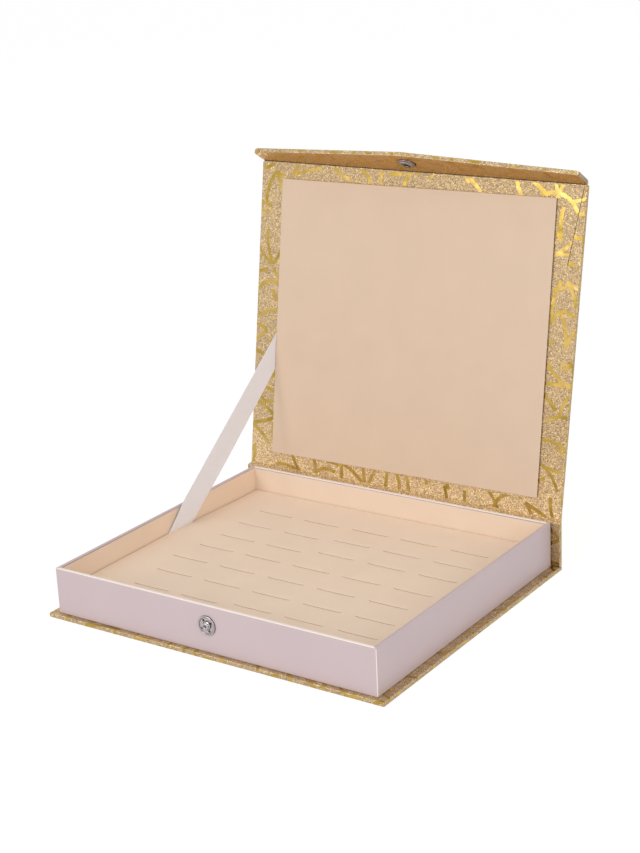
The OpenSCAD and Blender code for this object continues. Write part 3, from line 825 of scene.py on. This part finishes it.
def build_tray():
    """Pearl paper round the walls of the tray: one closed ring with soft edges, with a painted highlight along the
    rim.
    """
    low, high = local_box("tray_wrap", WORLD)
    inset, radius = 2.0, 0.55
    bm = bmesh.new()
    plan = rectangle(low.x, low.y, high.x, high.y)
    inner = rectangle(low.x + inset, low.y + inset, high.x - inset, high.y - inset)
    rings = [[bm.verts.new((x, y, z)) for x, y in points]
             for points, z in ((plan, low.z), (plan, high.z), (inner, high.z), (inner, low.z))]
    for a, b in zip(rings, rings[1:] + rings[:1]):
        bridge(bm, a, b)
    bmesh.ops.recalc_face_normals(bm, faces=bm.faces)
    ends = [(e, e.verts[0].co, e.verts[1].co) for e in bm.edges]
    side = high.x - 0.1
    rim = [e for e, a, b in ends if min(a.z, b.z) > high.z - 0.01]
    upright = [e for e, a, b in ends if abs(a.z - b.z) > 1 and abs(a.x) > side]
    foot = [e for e, a, b in ends if max(a.z, b.z) < low.z + 0.01 and min(abs(a.x), abs(b.x)) > side]
    round_edges(bm, rim + upright + foot, radius, 4)
    bmesh.ops.recalc_face_normals(bm, faces=bm.faces)
    for face in bm.faces:
        # The front and rear rim and the front right upright edge get the painted highlight
        middle, normal = face.calc_center_median(), face.normal
        on_rim = middle.z > high.z - 0.5 and normal.z > 0.25 and abs(middle.x) < high.x - inset
        front_corner = middle.x > high.x - 0.3 and middle.y < low.y + 0.3 and face.calc_area() > 1
        if on_rim or (front_corner and min(abs(normal.x), abs(normal.y)) > 0.15):
            face.material_index = 1
    tray = finish_mesh("tray_paper", bm, WORLD, ["Pearl paper", "Rubbed edge"])
    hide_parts("tray_wrap")
    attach(tray, "case")


def build_linings():
    """Suede on the inner faces of the tray's four walls."""
    for name in ("lining_front", "lining_rear", "lining_left", "lining_right"):
        piece = finish_mesh(name + "_suede", slab(*local_box(name, WORLD), 0.18), WORLD, ["Suede"])
        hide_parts(name)
        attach(piece, "case")


# The slits of the pad, row by row from the front: how far a row slides sideways, and how far
# its right part lies behind its left part
ROW_SLIDE = (2, 1, -3, 0, 2, 0, 0)
ROW_STEP = (3, 0, 0, 0, 4, 3, 1)
COLUMNS, ROWS = 5, 7
PAD_SHIFT = 2.0  # the middle of the slits lies this far right of the tray's middle

# The pad's top is a net of points. Its lines across the tray, as shares of each gap and of each slit
GAP_LINES = (0.35, 0.7)
SLIT_LINES = (0, 0.03, 0.1, 0.25, 0.5, 0.75, 0.9, 0.97, 1)
FIRST_SLIT = 1 + len(GAP_LINES)
LINES = len(GAP_LINES) + len(SLIT_LINES)
# Its lines along the tray, as shares of the way in front of, between and behind the rows of slits
FRONT_LINES = (0, 0.008, 0.03, 0.1, 0.3, 0.6, 0.85)
BETWEEN_LINES = (0.03, 0.08, 0.16, 0.3, 0.5, 0.7, 0.84, 0.92, 0.97)
REAR_LINES = (0.15, 0.4, 0.7, 0.9, 0.97, 0.992, 1)

RIM_DROP, RIM_WIDTH = 0.5, 1.5  # the pad's soft edge
SWELL, SWELL_WIDTH, SWELL_LENGTH = 1.7, 9, 75  # it swells along the left wall in front of the ribbon
LIP_SINK, LIP_WIDTH, LIP_REACH = 0.35, 0.9, 5  # the lips of its slits sink in


def slit_middle(row, column):
    """The x of a slit's middle."""
    return PAD_SHIFT + (column - 2) * size("slit_pitch") + ROW_SLIDE[row]


def pad_columns(row, low_x, high_x):
    """The x of the net's lines at one row of slits; each slit has the same number of lines."""
    lines = [low_x]
    half = size("slit_length") / 2
    for column in range(COLUMNS):
        gap, middle = lines[-1], slit_middle(row, column)
        lines += [gap + (middle - half - gap) * t for t in GAP_LINES]
        lines += [middle - half + 2 * half * t for t in SLIT_LINES]
    gap = lines[-1]
    return lines + [gap + (high_x - gap) * t for t in (0.3, 0.65, 1)]


def build_pad():
    """The ring pad: soft edges, and slits whose lips sink in."""
    foot_z = local_box("pad_foam", WORLD)[0].z
    low, high = local_box("pad_suede", WORLD)

    def row_y(row, x, side):
        """Where a row's slits run: side is -1 for their front lips and 1 for their rear ones."""
        step = (ease((x - slit_middle(row, 1.5) + 4) / 8) - 0.5) * ROW_STEP[row]
        return (low.y + high.y) / 2 + (row - 3) * size("row_pitch") + step + side * size("slit_width") / 2

    def height(x, y):
        """Rounded at the rim, swollen along the left wall in front of the ribbon, and sunk at the lips."""
        rim = min(x - low.x, high.x - x, y - low.y, high.y - y)
        z = high.z - RIM_DROP * max(0, 1 - rim / RIM_WIDTH) ** 2
        z += SWELL * math.exp(-((x - low.x) / SWELL_WIDTH) ** 2) * (1 - ease(y / SWELL_LENGTH))
        sink = 0.0
        for row in range(ROWS):
            away = abs(y - row_y(row, x, 0))
            if away < LIP_REACH:
                for column in range(COLUMNS):
                    share = abs(x - slit_middle(row, column)) / (size("slit_length") / 2)
                    if share <= 1:
                        sink = max(sink, LIP_SINK * (1 - share ** 8) * math.exp(-away / LIP_WIDTH))
        return z - sink

    columns = [pad_columns(row, low.x, high.x) for row in range(ROWS)]
    rows = [[(x, low.y + (row_y(0, x, -1) - low.y) * t) for x in columns[0]] for t in FRONT_LINES]
    slit_rows = []
    for row, xs in enumerate(columns):
        slit_rows.append(len(rows))
        rows += [[(x, row_y(row, x, side)) for x in xs] for side in (-1, 1)]
        if row + 1 < ROWS:
            for t in BETWEEN_LINES:
                mixed = [a + (b - a) * ease(t) for a, b in zip(xs, columns[row + 1])]
                rows.append([(x, row_y(row, x, 1) * (1 - t) + row_y(row + 1, x, -1) * t) for x in mixed])
    rows += [[(x, row_y(ROWS - 1, x, 1) * (1 - t) + high.y * t) for x in columns[-1]] for t in REAR_LINES]

    bm = bmesh.new()
    net = [[bm.verts.new((x, y, height(x, y))) for x, y in row] for row in rows]
    cells = len(SLIT_LINES) - 1
    for i, (a, b) in enumerate(zip(net, net[1:])):
        for j in range(len(a) - 1):
            if i not in slit_rows or (j - FIRST_SLIT) % LINES >= cells:
                bm.faces.new((a[j], a[j + 1], b[j + 1], b[j]))
    # Walls and floor of each slit, painted dark as shade
    for i in slit_rows:
        for column in range(COLUMNS):
            start = FIRST_SLIT + LINES * column
            end = start + len(SLIT_LINES)
            ring = net[i][start:end] + net[i + 1][start:end][::-1]
            deep = [bm.verts.new((v.co.x, v.co.y, high.z - size("slit_depth"))) for v in ring]
            bridge(bm, ring, deep, 1)
            for k in range(cells):
                bm.faces.new((deep[k], deep[k + 1], deep[-k - 2], deep[-k - 1])).material_index = 1
    # Sides and underside
    border = net[0][:-1] + [row[-1] for row in net[:-1]] + net[-1][:0:-1] + [row[0] for row in net[:0:-1]]
    foot = [bm.verts.new((v.co.x, v.co.y, foot_z)) for v in border]
    bridge(bm, border, foot)
    bm.faces.new(foot)
    pad = finish_mesh("ring_pad", bm, WORLD, ["Suede", "Slit wall"], sharp=50)
    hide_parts("pad_foam", "pad_suede")
    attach(pad, "case")


def build_lid():
    """The lid's covering, with the slanted edge of its turn-in near the right upper corner drawn as a strip of
    painted shade, and its board.
    """
    low, high = local_box("lid_cover", LID)
    skin = Vector((SKIN, SKIN, 0))
    bm = slab(low + skin, high - skin, size("edge"))
    # The turn-in's edge is a thin strip of painted shade, standing in for the shadow of its step
    start, end = (Vector((x, low.y + SKIN, z)) for x, z in SEAM)
    lean = Matrix.Rotation(math.atan2(end.x - start.x, end.z - start.z), 4, "Y")
    strip = block_place((0, 0, 0), (0.32, 0.06, (end - start).length))
    add_shade_strip(bm, Matrix.Translation((start + end) / 2) @ lean @ strip)
    taper_lid(bm, high.z)
    cover = finish_mesh("lid_covering", bm, LID, ["Lid covering", "Crease"])
    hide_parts("lid_cover", "lid_liner")
    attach(cover, "lid")
    bm = slab(*local_box("lid_board", LID), 0.1, 1)
    taper_lid(bm, high.z)
    board = finish_mesh("lid_board_core", bm, LID, ["Greyboard"])
    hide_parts("lid_board")
    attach(board, "lid")


PANEL_TURN = math.radians(0.5)  # the hand-laid panel lies a little out of square


def build_panel():
    """Suede stretched over the card of the lid's raised panel, with the card's edge under it painted dark as shade.
    """
    low, high = Vector((-84.4, -0.75, 10.0)), Vector((84.4, 0.35, 164.5))
    middle = (low + high) / 2
    turn = Matrix.Translation(middle) @ Matrix.Rotation(-PANEL_TURN, 4, "Y") @ Matrix.Translation(-middle)
    bm = slab(low, Vector((high.x, -0.25, high.z)), 0.24, 4)
    core = slab(low + Vector((0.8, 0.3, 0.8)), high - Vector((0.8, 0, 0.8)), 0.1, 1)
    # The card's edge under the overhang is painted shade
    for face in core.faces:
        face.material_index = 1
    join(bm, core)
    panel = finish_mesh("panel_suede_sheet", bm, LID @ turn, ["Panel suede", "Crease"])
    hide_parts("panel_suede", "panel_card")
    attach(panel, "lid")


def build_flap():
    """The flap's covering, with its inner face in the same paper, tinted warm there as painted reflected light."""
    low = local_box("flap_liner", FLAP)[0]
    high = local_box("flap_cover", FLAP)[1]
    bm = prism(flap_plan(SKIN), low.y + SKIN, high.y - SKIN, 0.4)
    bmesh.ops.recalc_face_normals(bm, faces=bm.faces)
    # The inner faces get the covering tinted with painted warm reflected light
    for face in bm.faces:
        face.material_index = 1 if face.normal.y < -0.9 else 0
    cover = finish_mesh("flap_covering", bm, FLAP, ["Covering", "Flap lining"])
    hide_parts("flap_cover", "flap_liner")
    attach(cover, "flap")


def fold_mesh(section, half, narrow):
    """A closed cross-section drawn out along X; narrow has each point's share of the lid's taper."""
    bm = bmesh.new()
    steps = 24
    net = []
    for k in range(steps + 1):
        x = -half + 2 * half * k / steps
        net.append([bm.verts.new((x * (1 - LID_TAPER * n), p.y, p.z)) for p, n in zip(section, narrow)])
    for a, b in zip(net, net[1:]):
        bridge(bm, a, b)
    bm.faces.new(net[0])
    bm.faces.new(net[-1])
    return bm, net


def build_folds():
    """The two folds in the covering: above the spine, and between the lid and the flap."""
    half = local_box("rear_hinge_cloth", WORLD)[1].x - 0.15
    to_lid = WORLD.inverted() @ LID
    inner = [Vector((0, 84.85, 26.2)), Vector((0, 84.95, 26.75))]
    inner += [to_lid @ Vector((0, y, z)) for y, z in ((0.5, 0.8), (0.45, 1.6))]
    outer = [to_lid @ Vector((0, 2.65, z)) for z in (1.6, 0.8)]
    outer += [Vector((0, 86.85, 26.75)), Vector((0, 86.8, 26.2))]
    bm, _ = fold_mesh(inner + outer, half, (0, 0.2, 0.8, 1, 1, 0.8, 0.2, 0))
    fold = finish_mesh("lid_fold_cloth", bm, WORLD, ["Lid covering"], sharp=60)
    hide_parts("rear_hinge_cloth")
    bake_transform(fold)

    half = local_box("flap_hinge_cloth", WORLD)[1].x - 0.1
    to_flap = LID.inverted() @ FLAP
    hinge = LID.inverted() @ joint_point("flap_hinge")

    def turned(radius, angle):
        return hinge + Vector((0, radius * math.cos(angle), radius * math.sin(angle)))

    facets = 6
    outer = [hinge + Vector((0, 1.12, -1.8))] + [turned(1.15, FOLD * k / facets) for k in range(facets + 1)]
    outer.append(to_flap @ Vector((0, 1.12, 1.9)))
    inner = [to_flap @ Vector((0, -1.13, 1.9)), to_flap @ Vector((0, -1.15, 1.02)), turned(-0.35, FOLD / 2),
             hinge + Vector((0, -1.15, -1.02)), hinge + Vector((0, -1.13, -1.8))]
    section = outer + inner
    bm, net = fold_mesh(section, half, [0] * len(section))
    # The groove between lid and flap is painted dark as shade
    for row in net[:-1]:
        for k in (len(outer) + 1, len(outer) + 2):  # the two facets of the groove between lid and flap
            for face in row[k].link_faces:
                if row[k + 1] in face.verts:
                    face.material_index = 1
    fold = finish_mesh("flap_fold_cloth", bm, LID, ["Covering", "Crease"], sharp=60)
    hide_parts("flap_hinge_cloth")
    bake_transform(fold)


RIBBON_LOW = Vector((-92.45, 6.2, 13.8))  # where the ribbon's middle comes out beside the pad
RIBBON_SLANT = math.radians(39)  # its slant behind the panel, from straight up the lid
RIBBON_TURN = 2.4  # how far its rear edge turns away from the wall
RIBBON_GLUED = 18.0
RIBBON_ACROSS = (-1, -0.8, -0.6, -0.35, -0.1, 0.2, 0.5, 0.75, 1)  # points from its front edge to its rear
RIM_SHARE = 0.164  # the share of its free span that lies below the tray's rim
TUCK_STEPS, FREE_STEPS, GLUED_STEPS = 3, 40, 4


def drawn_back(a):
    """How far the ribbon is drawn back beside the pad; its very edge stays behind as a thin fold."""
    return 3.5 if a < -0.9 else 3.3 + 4.8 * max(0.0, (0.3 - a) / 1.3)


def build_ribbon():
    """The satin ribbon stay: from the tray's floor beside the pad to the glued end behind the panel."""
    to_lid = WORLD.inverted() @ LID
    turn = to_lid.to_3x3()
    low, high = RIBBON_LOW, to_lid @ Vector((-84.55, 0.2, size("ribbon_height")))
    tilt = (turn @ Z).normalized()
    rise = math.atan2(high.z - low.z, high.y - low.y)
    low_half = size("ribbon_width") / 2 / math.sin(rise)
    high_half = size("ribbon_width") / 2 / math.sin(RIBBON_SLANT)
    deep = low.z - local_box("ribbon_tray_end", WORLD)[0].z
    rows = []
    for k in range(TUCK_STEPS):
        up = k / TUCK_STEPS - 1
        rows.append([low + Vector((0, a * low_half + deep / math.tan(rise) * up + drawn_back(a), deep * up))
                     for a in RIBBON_ACROSS])
    for k in range(FREE_STEPS + 1):
        t = k / FREE_STEPS
        row = []
        for a in RIBBON_ACROSS:
            p = (1 - t) * (low + Vector((0, a * low_half, 0))) + t * (high - a * high_half * tilt)
            # Below the rim the front edge is drawn back and curls away from the wall
            near = max(0.0, 1 - t / RIM_SHARE) ** (0.65 if a < -0.9 else 1.2)
            away = (1 + a) / 2 * RIBBON_TURN * math.sin(math.pi * math.sqrt(t))
            row.append(p + Vector((away + 0.5 * near * max(0.0, -0.3 - a), near * drawn_back(a), 0)))
        rows.append(row)
    glued = turn @ Vector((math.sin(RIBBON_SLANT), 0, math.cos(RIBBON_SLANT))) * RIBBON_GLUED
    rows += [[p + glued * k / GLUED_STEPS for p in row] for k in range(1, GLUED_STEPS + 1)]
    middle = len(RIBBON_ACROSS) // 2
    reach = [0.0]
    for a, b in zip(rows, rows[1:]):
        reach.append(reach[-1] + (b[middle] - a[middle]).length)
    bm = bmesh.new()
    net = [[bm.verts.new(p) for p in row] for row in rows]
    for a, b in zip(net, net[1:]):
        for j in range(len(a) - 1):
            bm.faces.new((a[j], a[j + 1], b[j + 1], b[j]))
    layer = bm.loops.layers.uv.new("Ribbon")
    for line, far in zip(net, reach):
        for a, v in zip(RIBBON_ACROSS, line):
            for loop in v.link_loops:
                loop[layer].uv = ((a + 1) / 2, far / 100)
    bmesh.ops.recalc_face_normals(bm, faces=bm.faces)
    bmesh.ops.solidify(bm, geom=bm.faces[:], thickness=0.24)
    ribbon = finish_mesh("ribbon_stay", bm, WORLD, ["Satin"], sharp=60)
    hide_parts("ribbon", "ribbon_tray_end", "ribbon_lid_end")
    size("ribbon_width") * MM
    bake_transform(ribbon)


def dress_boards():
    """Materials for the boards and the spring that lie inside the other pieces."""
    boards = ("base_board", "spine_board", "tray_floor", "tray_front_wall", "tray_rear_wall", "tray_left_wall",
              "tray_right_wall", "flap_board")
    for name, finish in [(board, "Greyboard") for board in boards] + [("socket_spring", "Nickel")]:
        mesh = FRAME["nodes"][name].data
        mesh.materials.clear()
        mesh.materials.append(material(finish))


# The snap's halves as (radius, height) points, and their shaded rings as (from, to, material)
STUD = ((0, 0), (5, 0), (5, 0.5), (4.96, 0.62), (4.88, 0.72), (4.7, 0.8), (4.4, 0.78), (4.25, 0.7), (4.15, 0.5),
        (3.98, 0.46), (3.3, 0.52), (2.6, 0.46), (2.35, 0.36), (2.1, 0.36), (1.95, 0.46), (1.55, 0.55), (1.42, 0.7),
        (1.4, 1.2), (1.5, 1.35), (1.75, 1.5), (1.8, 1.6), (1.75, 1.74), (1.5, 1.87), (1.1, 1.9), (0.8, 1.82),
        (0.6, 1.6), (0, 1.5))
STUD_RINGS = ((4.97, 5.1, 1), (3.95, 4.2, 1), (1.95, 2.45, 1), (0.0, 0.7, 1))
SOCKET = ((2.05, 0), (5, 0), (5, 0.42), (4.92, 0.55), (4.78, 0.6), (4.35, 0.62), (4.15, 0.7), (3.95, 1.05),
          (3.8, 1.22), (3.6, 1.3), (2.3, 1.3), (2.05, 1.2))
# The socket's middle lies in painted shade
SOCKET_RINGS = ((4.9, 5.1, 1), (3.9, 4.2, 1), (2.2, 2.6, 1), (0, 2.2, 2))
METALS = ("Nickel", "Nickel in shade", "Hole")
STUD_PLACE, SOCKET_PLACE = (0, -84.3, 16.6), (0, -FLAP_HALF, 11.5)
HOLE_RING, HOLE_RADIUS, HOLE_TURN = 3.05, 0.62, 32  # the sewing holes in the stud


def paint_rings(bm, rings):
    """Gives the faces of a turned piece the material of the ring that their middle lies in."""
    for face in bm.faces:
        middle = face.calc_center_median()
        radius = math.hypot(middle.x, middle.z)
        for low, high, slot in rings:
            if low < radius < high and middle.y < -0.05:
                face.material_index = slot


def build_snap():
    """Both halves of the press snap, turned on a lathe; the stud is sewn on through four holes."""
    bm = lathe(STUD)
    paint_rings(bm, STUD_RINGS)
    round_the_hole = [math.pi * j / 8 for j in range(16)]
    for k in range(4):
        turn = math.radians(HOLE_TURN + 90 * k)
        at = Vector((HOLE_RING * math.cos(turn), -0.53, HOLE_RING * math.sin(turn)))
        ring = [bm.verts.new(at + HOLE_RADIUS * Vector((math.cos(a), 0, math.sin(a)))) for a in round_the_hole]
        back = [bm.verts.new(v.co + Vector((0, 0.2, 0))) for v in ring]
        # Each hole is closed by a disc and walls in painted shade
        bm.faces.new(ring).material_index = 2
        bm.faces.new(back[::-1]).material_index = 2
        bridge(bm, ring, back, 2)
    stud = finish_mesh("snap_stud_metal", bm, WORLD @ Matrix.Translation(STUD_PLACE), METALS, sharp=45)
    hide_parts("snap_stud")
    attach(stud, "case")
    bm = lathe(SOCKET)
    paint_rings(bm, SOCKET_RINGS)
    socket = finish_mesh("snap_socket_metal", bm, FLAP @ Matrix.Translation(SOCKET_PLACE), METALS, sharp=45)
    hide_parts("snap_socket")
    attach(socket, "flap")


# ---- Camera, light and floor ----

CAMERA_ANGLES = (35.006, 18.567, -2.750)  # azimuth, elevation and roll
CAMERA_PLACE = Vector((483.11, -673.37, 368.06))
LENS, SENSOR = 74.34, 36.0
ROOM_LIGHT = 0.5  # what the white room gives as light; where it is seen it is 1, pure white
FLOOR_GLOW, FLOOR_SHARE = 1.12, 0.8  # the floor's own light, and its share of what is seen there


def view_axes(azimuth, elevation, roll):
    """Right, up and back directions of the camera, for angles in degrees."""
    a, e, r = (math.radians(x) for x in (azimuth, elevation, roll))
    back = Vector((math.sin(a) * math.cos(e), -math.cos(a) * math.cos(e), math.sin(e)))
    right = Vector((math.cos(a), math.sin(a), 0.0))
    up = back.cross(right)
    return math.cos(r) * right + math.sin(r) * up, -math.sin(r) * right + math.cos(r) * up, back


def make_camera():
    """The camera that took the photo, worked out from the corners of tray, lid and flap."""
    data = bpy.data.cameras.new("Camera")
    data.lens, data.sensor_width, data.sensor_fit = LENS, SENSOR, "AUTO"
    data.clip_start, data.clip_end = 0.01, 20.0
    cam = bpy.data.objects.new("Camera", data)
    bpy.context.scene.collection.objects.link(cam)
    turn = Matrix(view_axes(*CAMERA_ANGLES)).transposed()
    cam.matrix_world = Matrix.Translation(CAMERA_PLACE * MM) @ turn.to_4x4()
    bpy.context.scene.camera = cam


def lamp(name, place, target, width, power, tone=(1, 1, 1)):
    """A square soft lamp that faces a point, in metres and watts."""
    data = bpy.data.lights.new(name, "AREA")
    data.shape, data.size, data.energy, data.color = "SQUARE", width, power, tone
    obj = bpy.data.objects.new(name, data)
    bpy.context.scene.collection.objects.link(obj)
    obj.location = place
    obj.rotation_euler = (Vector(target) - Vector(place)).to_track_quat("-Z", "Y").to_euler()


def background_share(tree):
    """1 for what the camera, a gloss or a glass shows, and 0 for what lights the object."""
    path = add_node(tree, "ShaderNodeLightPath")
    share = path.outputs["Is Camera Ray"]
    for name in ("Is Glossy Ray", "Is Transmission Ray"):
        either = add_node(tree, "ShaderNodeMath", {"operation": "MAXIMUM"}, i0=share, i1=path.outputs[name])
        share = either.outputs[0]
    return share


def make_stage():
    """A white room, three soft lamps and a pale floor that fades into the room."""
    world = bpy.data.worlds.new("World")
    bpy.context.scene.world = world
    world.use_nodes = True
    tree = world.node_tree
    level = add_node(tree, "ShaderNodeMapRange", Value=background_share(tree), To_Min=ROOM_LIGHT, To_Max=1.0)
    set_inputs(tree, tree.nodes["Background"], Color=(1, 1, 1, 1), Strength=level.outputs["Result"])
    bpy.context.scene.view_settings.view_transform = "Standard"

    lamp("Key lamp", (-0.35, -1.3, 0.75), (0, 0, 0.08), 0.8, 8.2)
    lamp("Top lamp", (0.1, -0.2, 1.5), (0, 0, 0.0), 1.0, 1.5)
    lamp("Right lamp", (1.2, -0.6, 0.7), (0, 0, 0.05), 0.9, 6.5, (1.0, 0.95, 0.9))

    bm = bmesh.new()
    bmesh.ops.create_grid(bm, x_segments=1, y_segments=1, size=4.0)
    mesh = bpy.data.meshes.new("Floor")
    bm.to_mesh(mesh)
    bm.free()
    floor = bpy.data.objects.new("Floor", mesh)
    floor.location.z = -0.0002
    bpy.context.scene.collection.objects.link(floor)
    n = Nodes("Floor")
    mesh.materials.append(n.paint(Base_Color=(0.9, 0.9, 0.9, 1), Roughness=0.9))
    glow = n.add("ShaderNodeEmission", Color=(1, 1, 1, 1), Strength=FLOOR_GLOW)
    share = n.span(background_share(n.tree), 0.0, FLOOR_SHARE)
    blend = n.add("ShaderNodeMixShader", Fac=share, i1=n.shader.outputs["BSDF"], i2=glow.outputs["Emission"])
    set_inputs(n.tree, n.tree.nodes["Material Output"], Surface=blend.outputs["Shader"])


# ---- Operators and panel ----


class RINGBOX_OT_stage(bpy.types.Operator):
    """Sets up the camera, the lamps and the pale floor"""

    bl_idname = "ring_box.stage"
    bl_label = "Camera, light and floor"
    bl_options = {"REGISTER", "UNDO"}

    def execute(self, context):
        make_camera()
        make_stage()
        return {"FINISHED"}


class RINGBOX_OT_boards(bpy.types.Operator):
    """Gives the boards inside the coverings their material"""

    bl_idname = "ring_box.boards"
    bl_label = "Boards"
    bl_options = {"REGISTER", "UNDO"}

    def execute(self, context):
        dress_boards()
        return {"FINISHED"}


class RINGBOX_OT_case_covering(bpy.types.Operator):
    """Covers the base and the spine with glitter paper"""

    bl_idname = "ring_box.case_covering"
    bl_label = "Case covering"
    bl_options = {"REGISTER", "UNDO"}

    def execute(self, context):
        build_case_covering()
        return {"FINISHED"}


class RINGBOX_OT_tray(bpy.types.Operator):
    """Wraps the tray in pearl paper"""

    bl_idname = "ring_box.tray"
    bl_label = "Tray"
    bl_options = {"REGISTER", "UNDO"}

    def execute(self, context):
        build_tray()
        return {"FINISHED"}


class RINGBOX_OT_linings(bpy.types.Operator):
    """Lines the walls of the tray with suede"""

    bl_idname = "ring_box.linings"
    bl_label = "Linings"
    bl_options = {"REGISTER", "UNDO"}

    def execute(self, context):
        build_linings()
        return {"FINISHED"}


class RINGBOX_OT_ring_pad(bpy.types.Operator):
    """Fills the tray with the slit pad"""

    bl_idname = "ring_box.ring_pad"
    bl_label = "Ring pad"
    bl_options = {"REGISTER", "UNDO"}

    def execute(self, context):
        build_pad()
        return {"FINISHED"}


class RINGBOX_OT_lid(bpy.types.Operator):
    """Covers the lid with glitter paper"""

    bl_idname = "ring_box.lid"
    bl_label = "Lid"
    bl_options = {"REGISTER", "UNDO"}

    def execute(self, context):
        build_lid()
        return {"FINISHED"}


class RINGBOX_OT_panel(bpy.types.Operator):
    """Puts the raised suede panel in the lid"""

    bl_idname = "ring_box.panel"
    bl_label = "Panel"
    bl_options = {"REGISTER", "UNDO"}

    def execute(self, context):
        build_panel()
        return {"FINISHED"}


class RINGBOX_OT_flap(bpy.types.Operator):
    """Covers the pointed closing flap"""

    bl_idname = "ring_box.flap"
    bl_label = "Flap"
    bl_options = {"REGISTER", "UNDO"}

    def execute(self, context):
        build_flap()
        return {"FINISHED"}


class RINGBOX_OT_folds(bpy.types.Operator):
    """Joins spine, lid and flap with folds of the covering"""

    bl_idname = "ring_box.folds"
    bl_label = "Folds"
    bl_options = {"REGISTER", "UNDO"}

    def execute(self, context):
        build_folds()
        return {"FINISHED"}


class RINGBOX_OT_foil(bpy.types.Operator):
    """Presses the gold strokes on the covering"""

    bl_idname = "ring_box.foil"
    bl_label = "Gold foil"
    bl_options = {"REGISTER", "UNDO"}

    def execute(self, context):
        build_foil()
        return {"FINISHED"}


class RINGBOX_OT_ribbon(bpy.types.Operator):
    """Hangs the satin ribbon between tray and lid"""

    bl_idname = "ring_box.ribbon"
    bl_label = "Ribbon"
    bl_options = {"REGISTER", "UNDO"}

    def execute(self, context):
        build_ribbon()
        return {"FINISHED"}


class RINGBOX_OT_snap(bpy.types.Operator):
    """Sews on the stud and the socket"""

    bl_idname = "ring_box.snap"
    bl_label = "Press snap"
    bl_options = {"REGISTER", "UNDO"}

    def execute(self, context):
        build_snap()
        return {"FINISHED"}


OPERATORS = (
    RINGBOX_OT_stage,
    RINGBOX_OT_boards,
    RINGBOX_OT_case_covering,
    RINGBOX_OT_tray,
    RINGBOX_OT_linings,
    RINGBOX_OT_ring_pad,
    RINGBOX_OT_lid,
    RINGBOX_OT_panel,
    RINGBOX_OT_flap,
    RINGBOX_OT_folds,
    RINGBOX_OT_foil,
    RINGBOX_OT_ribbon,
    RINGBOX_OT_snap,
)


class RINGBOX_PT_sidebar(bpy.types.Panel):
    """Sizes, colours and steps of the ring display box"""

    bl_idname = "RINGBOX_PT_sidebar"
    bl_label = "Ring Display Box"
    bl_space_type = "VIEW_3D"
    bl_region_type = "UI"
    bl_category = "Ring Box"

    def draw(self, context):
        scene = context.scene
        for title, group in (("Sizes", scene.ring_box_sizes), ("Colours", scene.ring_box_colours)):
            box = self.layout.box()
            box.label(text=title)
            for name in group.__annotations__:
                box.prop(group, name)
        column = self.layout.column(align=True)
        for operator in OPERATORS:
            column.operator(operator.bl_idname)


CLASSES = (RingBoxSizes, RingBoxColours, *OPERATORS, RINGBOX_PT_sidebar)


def register():
    for cls in CLASSES:
        bpy.utils.register_class(cls)
    bpy.types.Scene.ring_box_sizes = PointerProperty(type=RingBoxSizes)
    bpy.types.Scene.ring_box_colours = PointerProperty(type=RingBoxColours)


def unregister():
    del bpy.types.Scene.ring_box_colours
    del bpy.types.Scene.ring_box_sizes
    for cls in reversed(CLASSES):
        bpy.utils.unregister_class(cls)


def main():
    register()
    bpy.ops.ring_box.stage()
    bpy.ops.ring_box.boards()
    bpy.ops.ring_box.case_covering()
    bpy.ops.ring_box.tray()
    bpy.ops.ring_box.linings()
    bpy.ops.ring_box.ring_pad()
    bpy.ops.ring_box.lid()
    bpy.ops.ring_box.panel()
    bpy.ops.ring_box.flap()
    bpy.ops.ring_box.folds()
    bpy.ops.ring_box.foil()
    bpy.ops.ring_box.ribbon()
    bpy.ops.ring_box.snap()


if __name__ == "__main__":
    main()
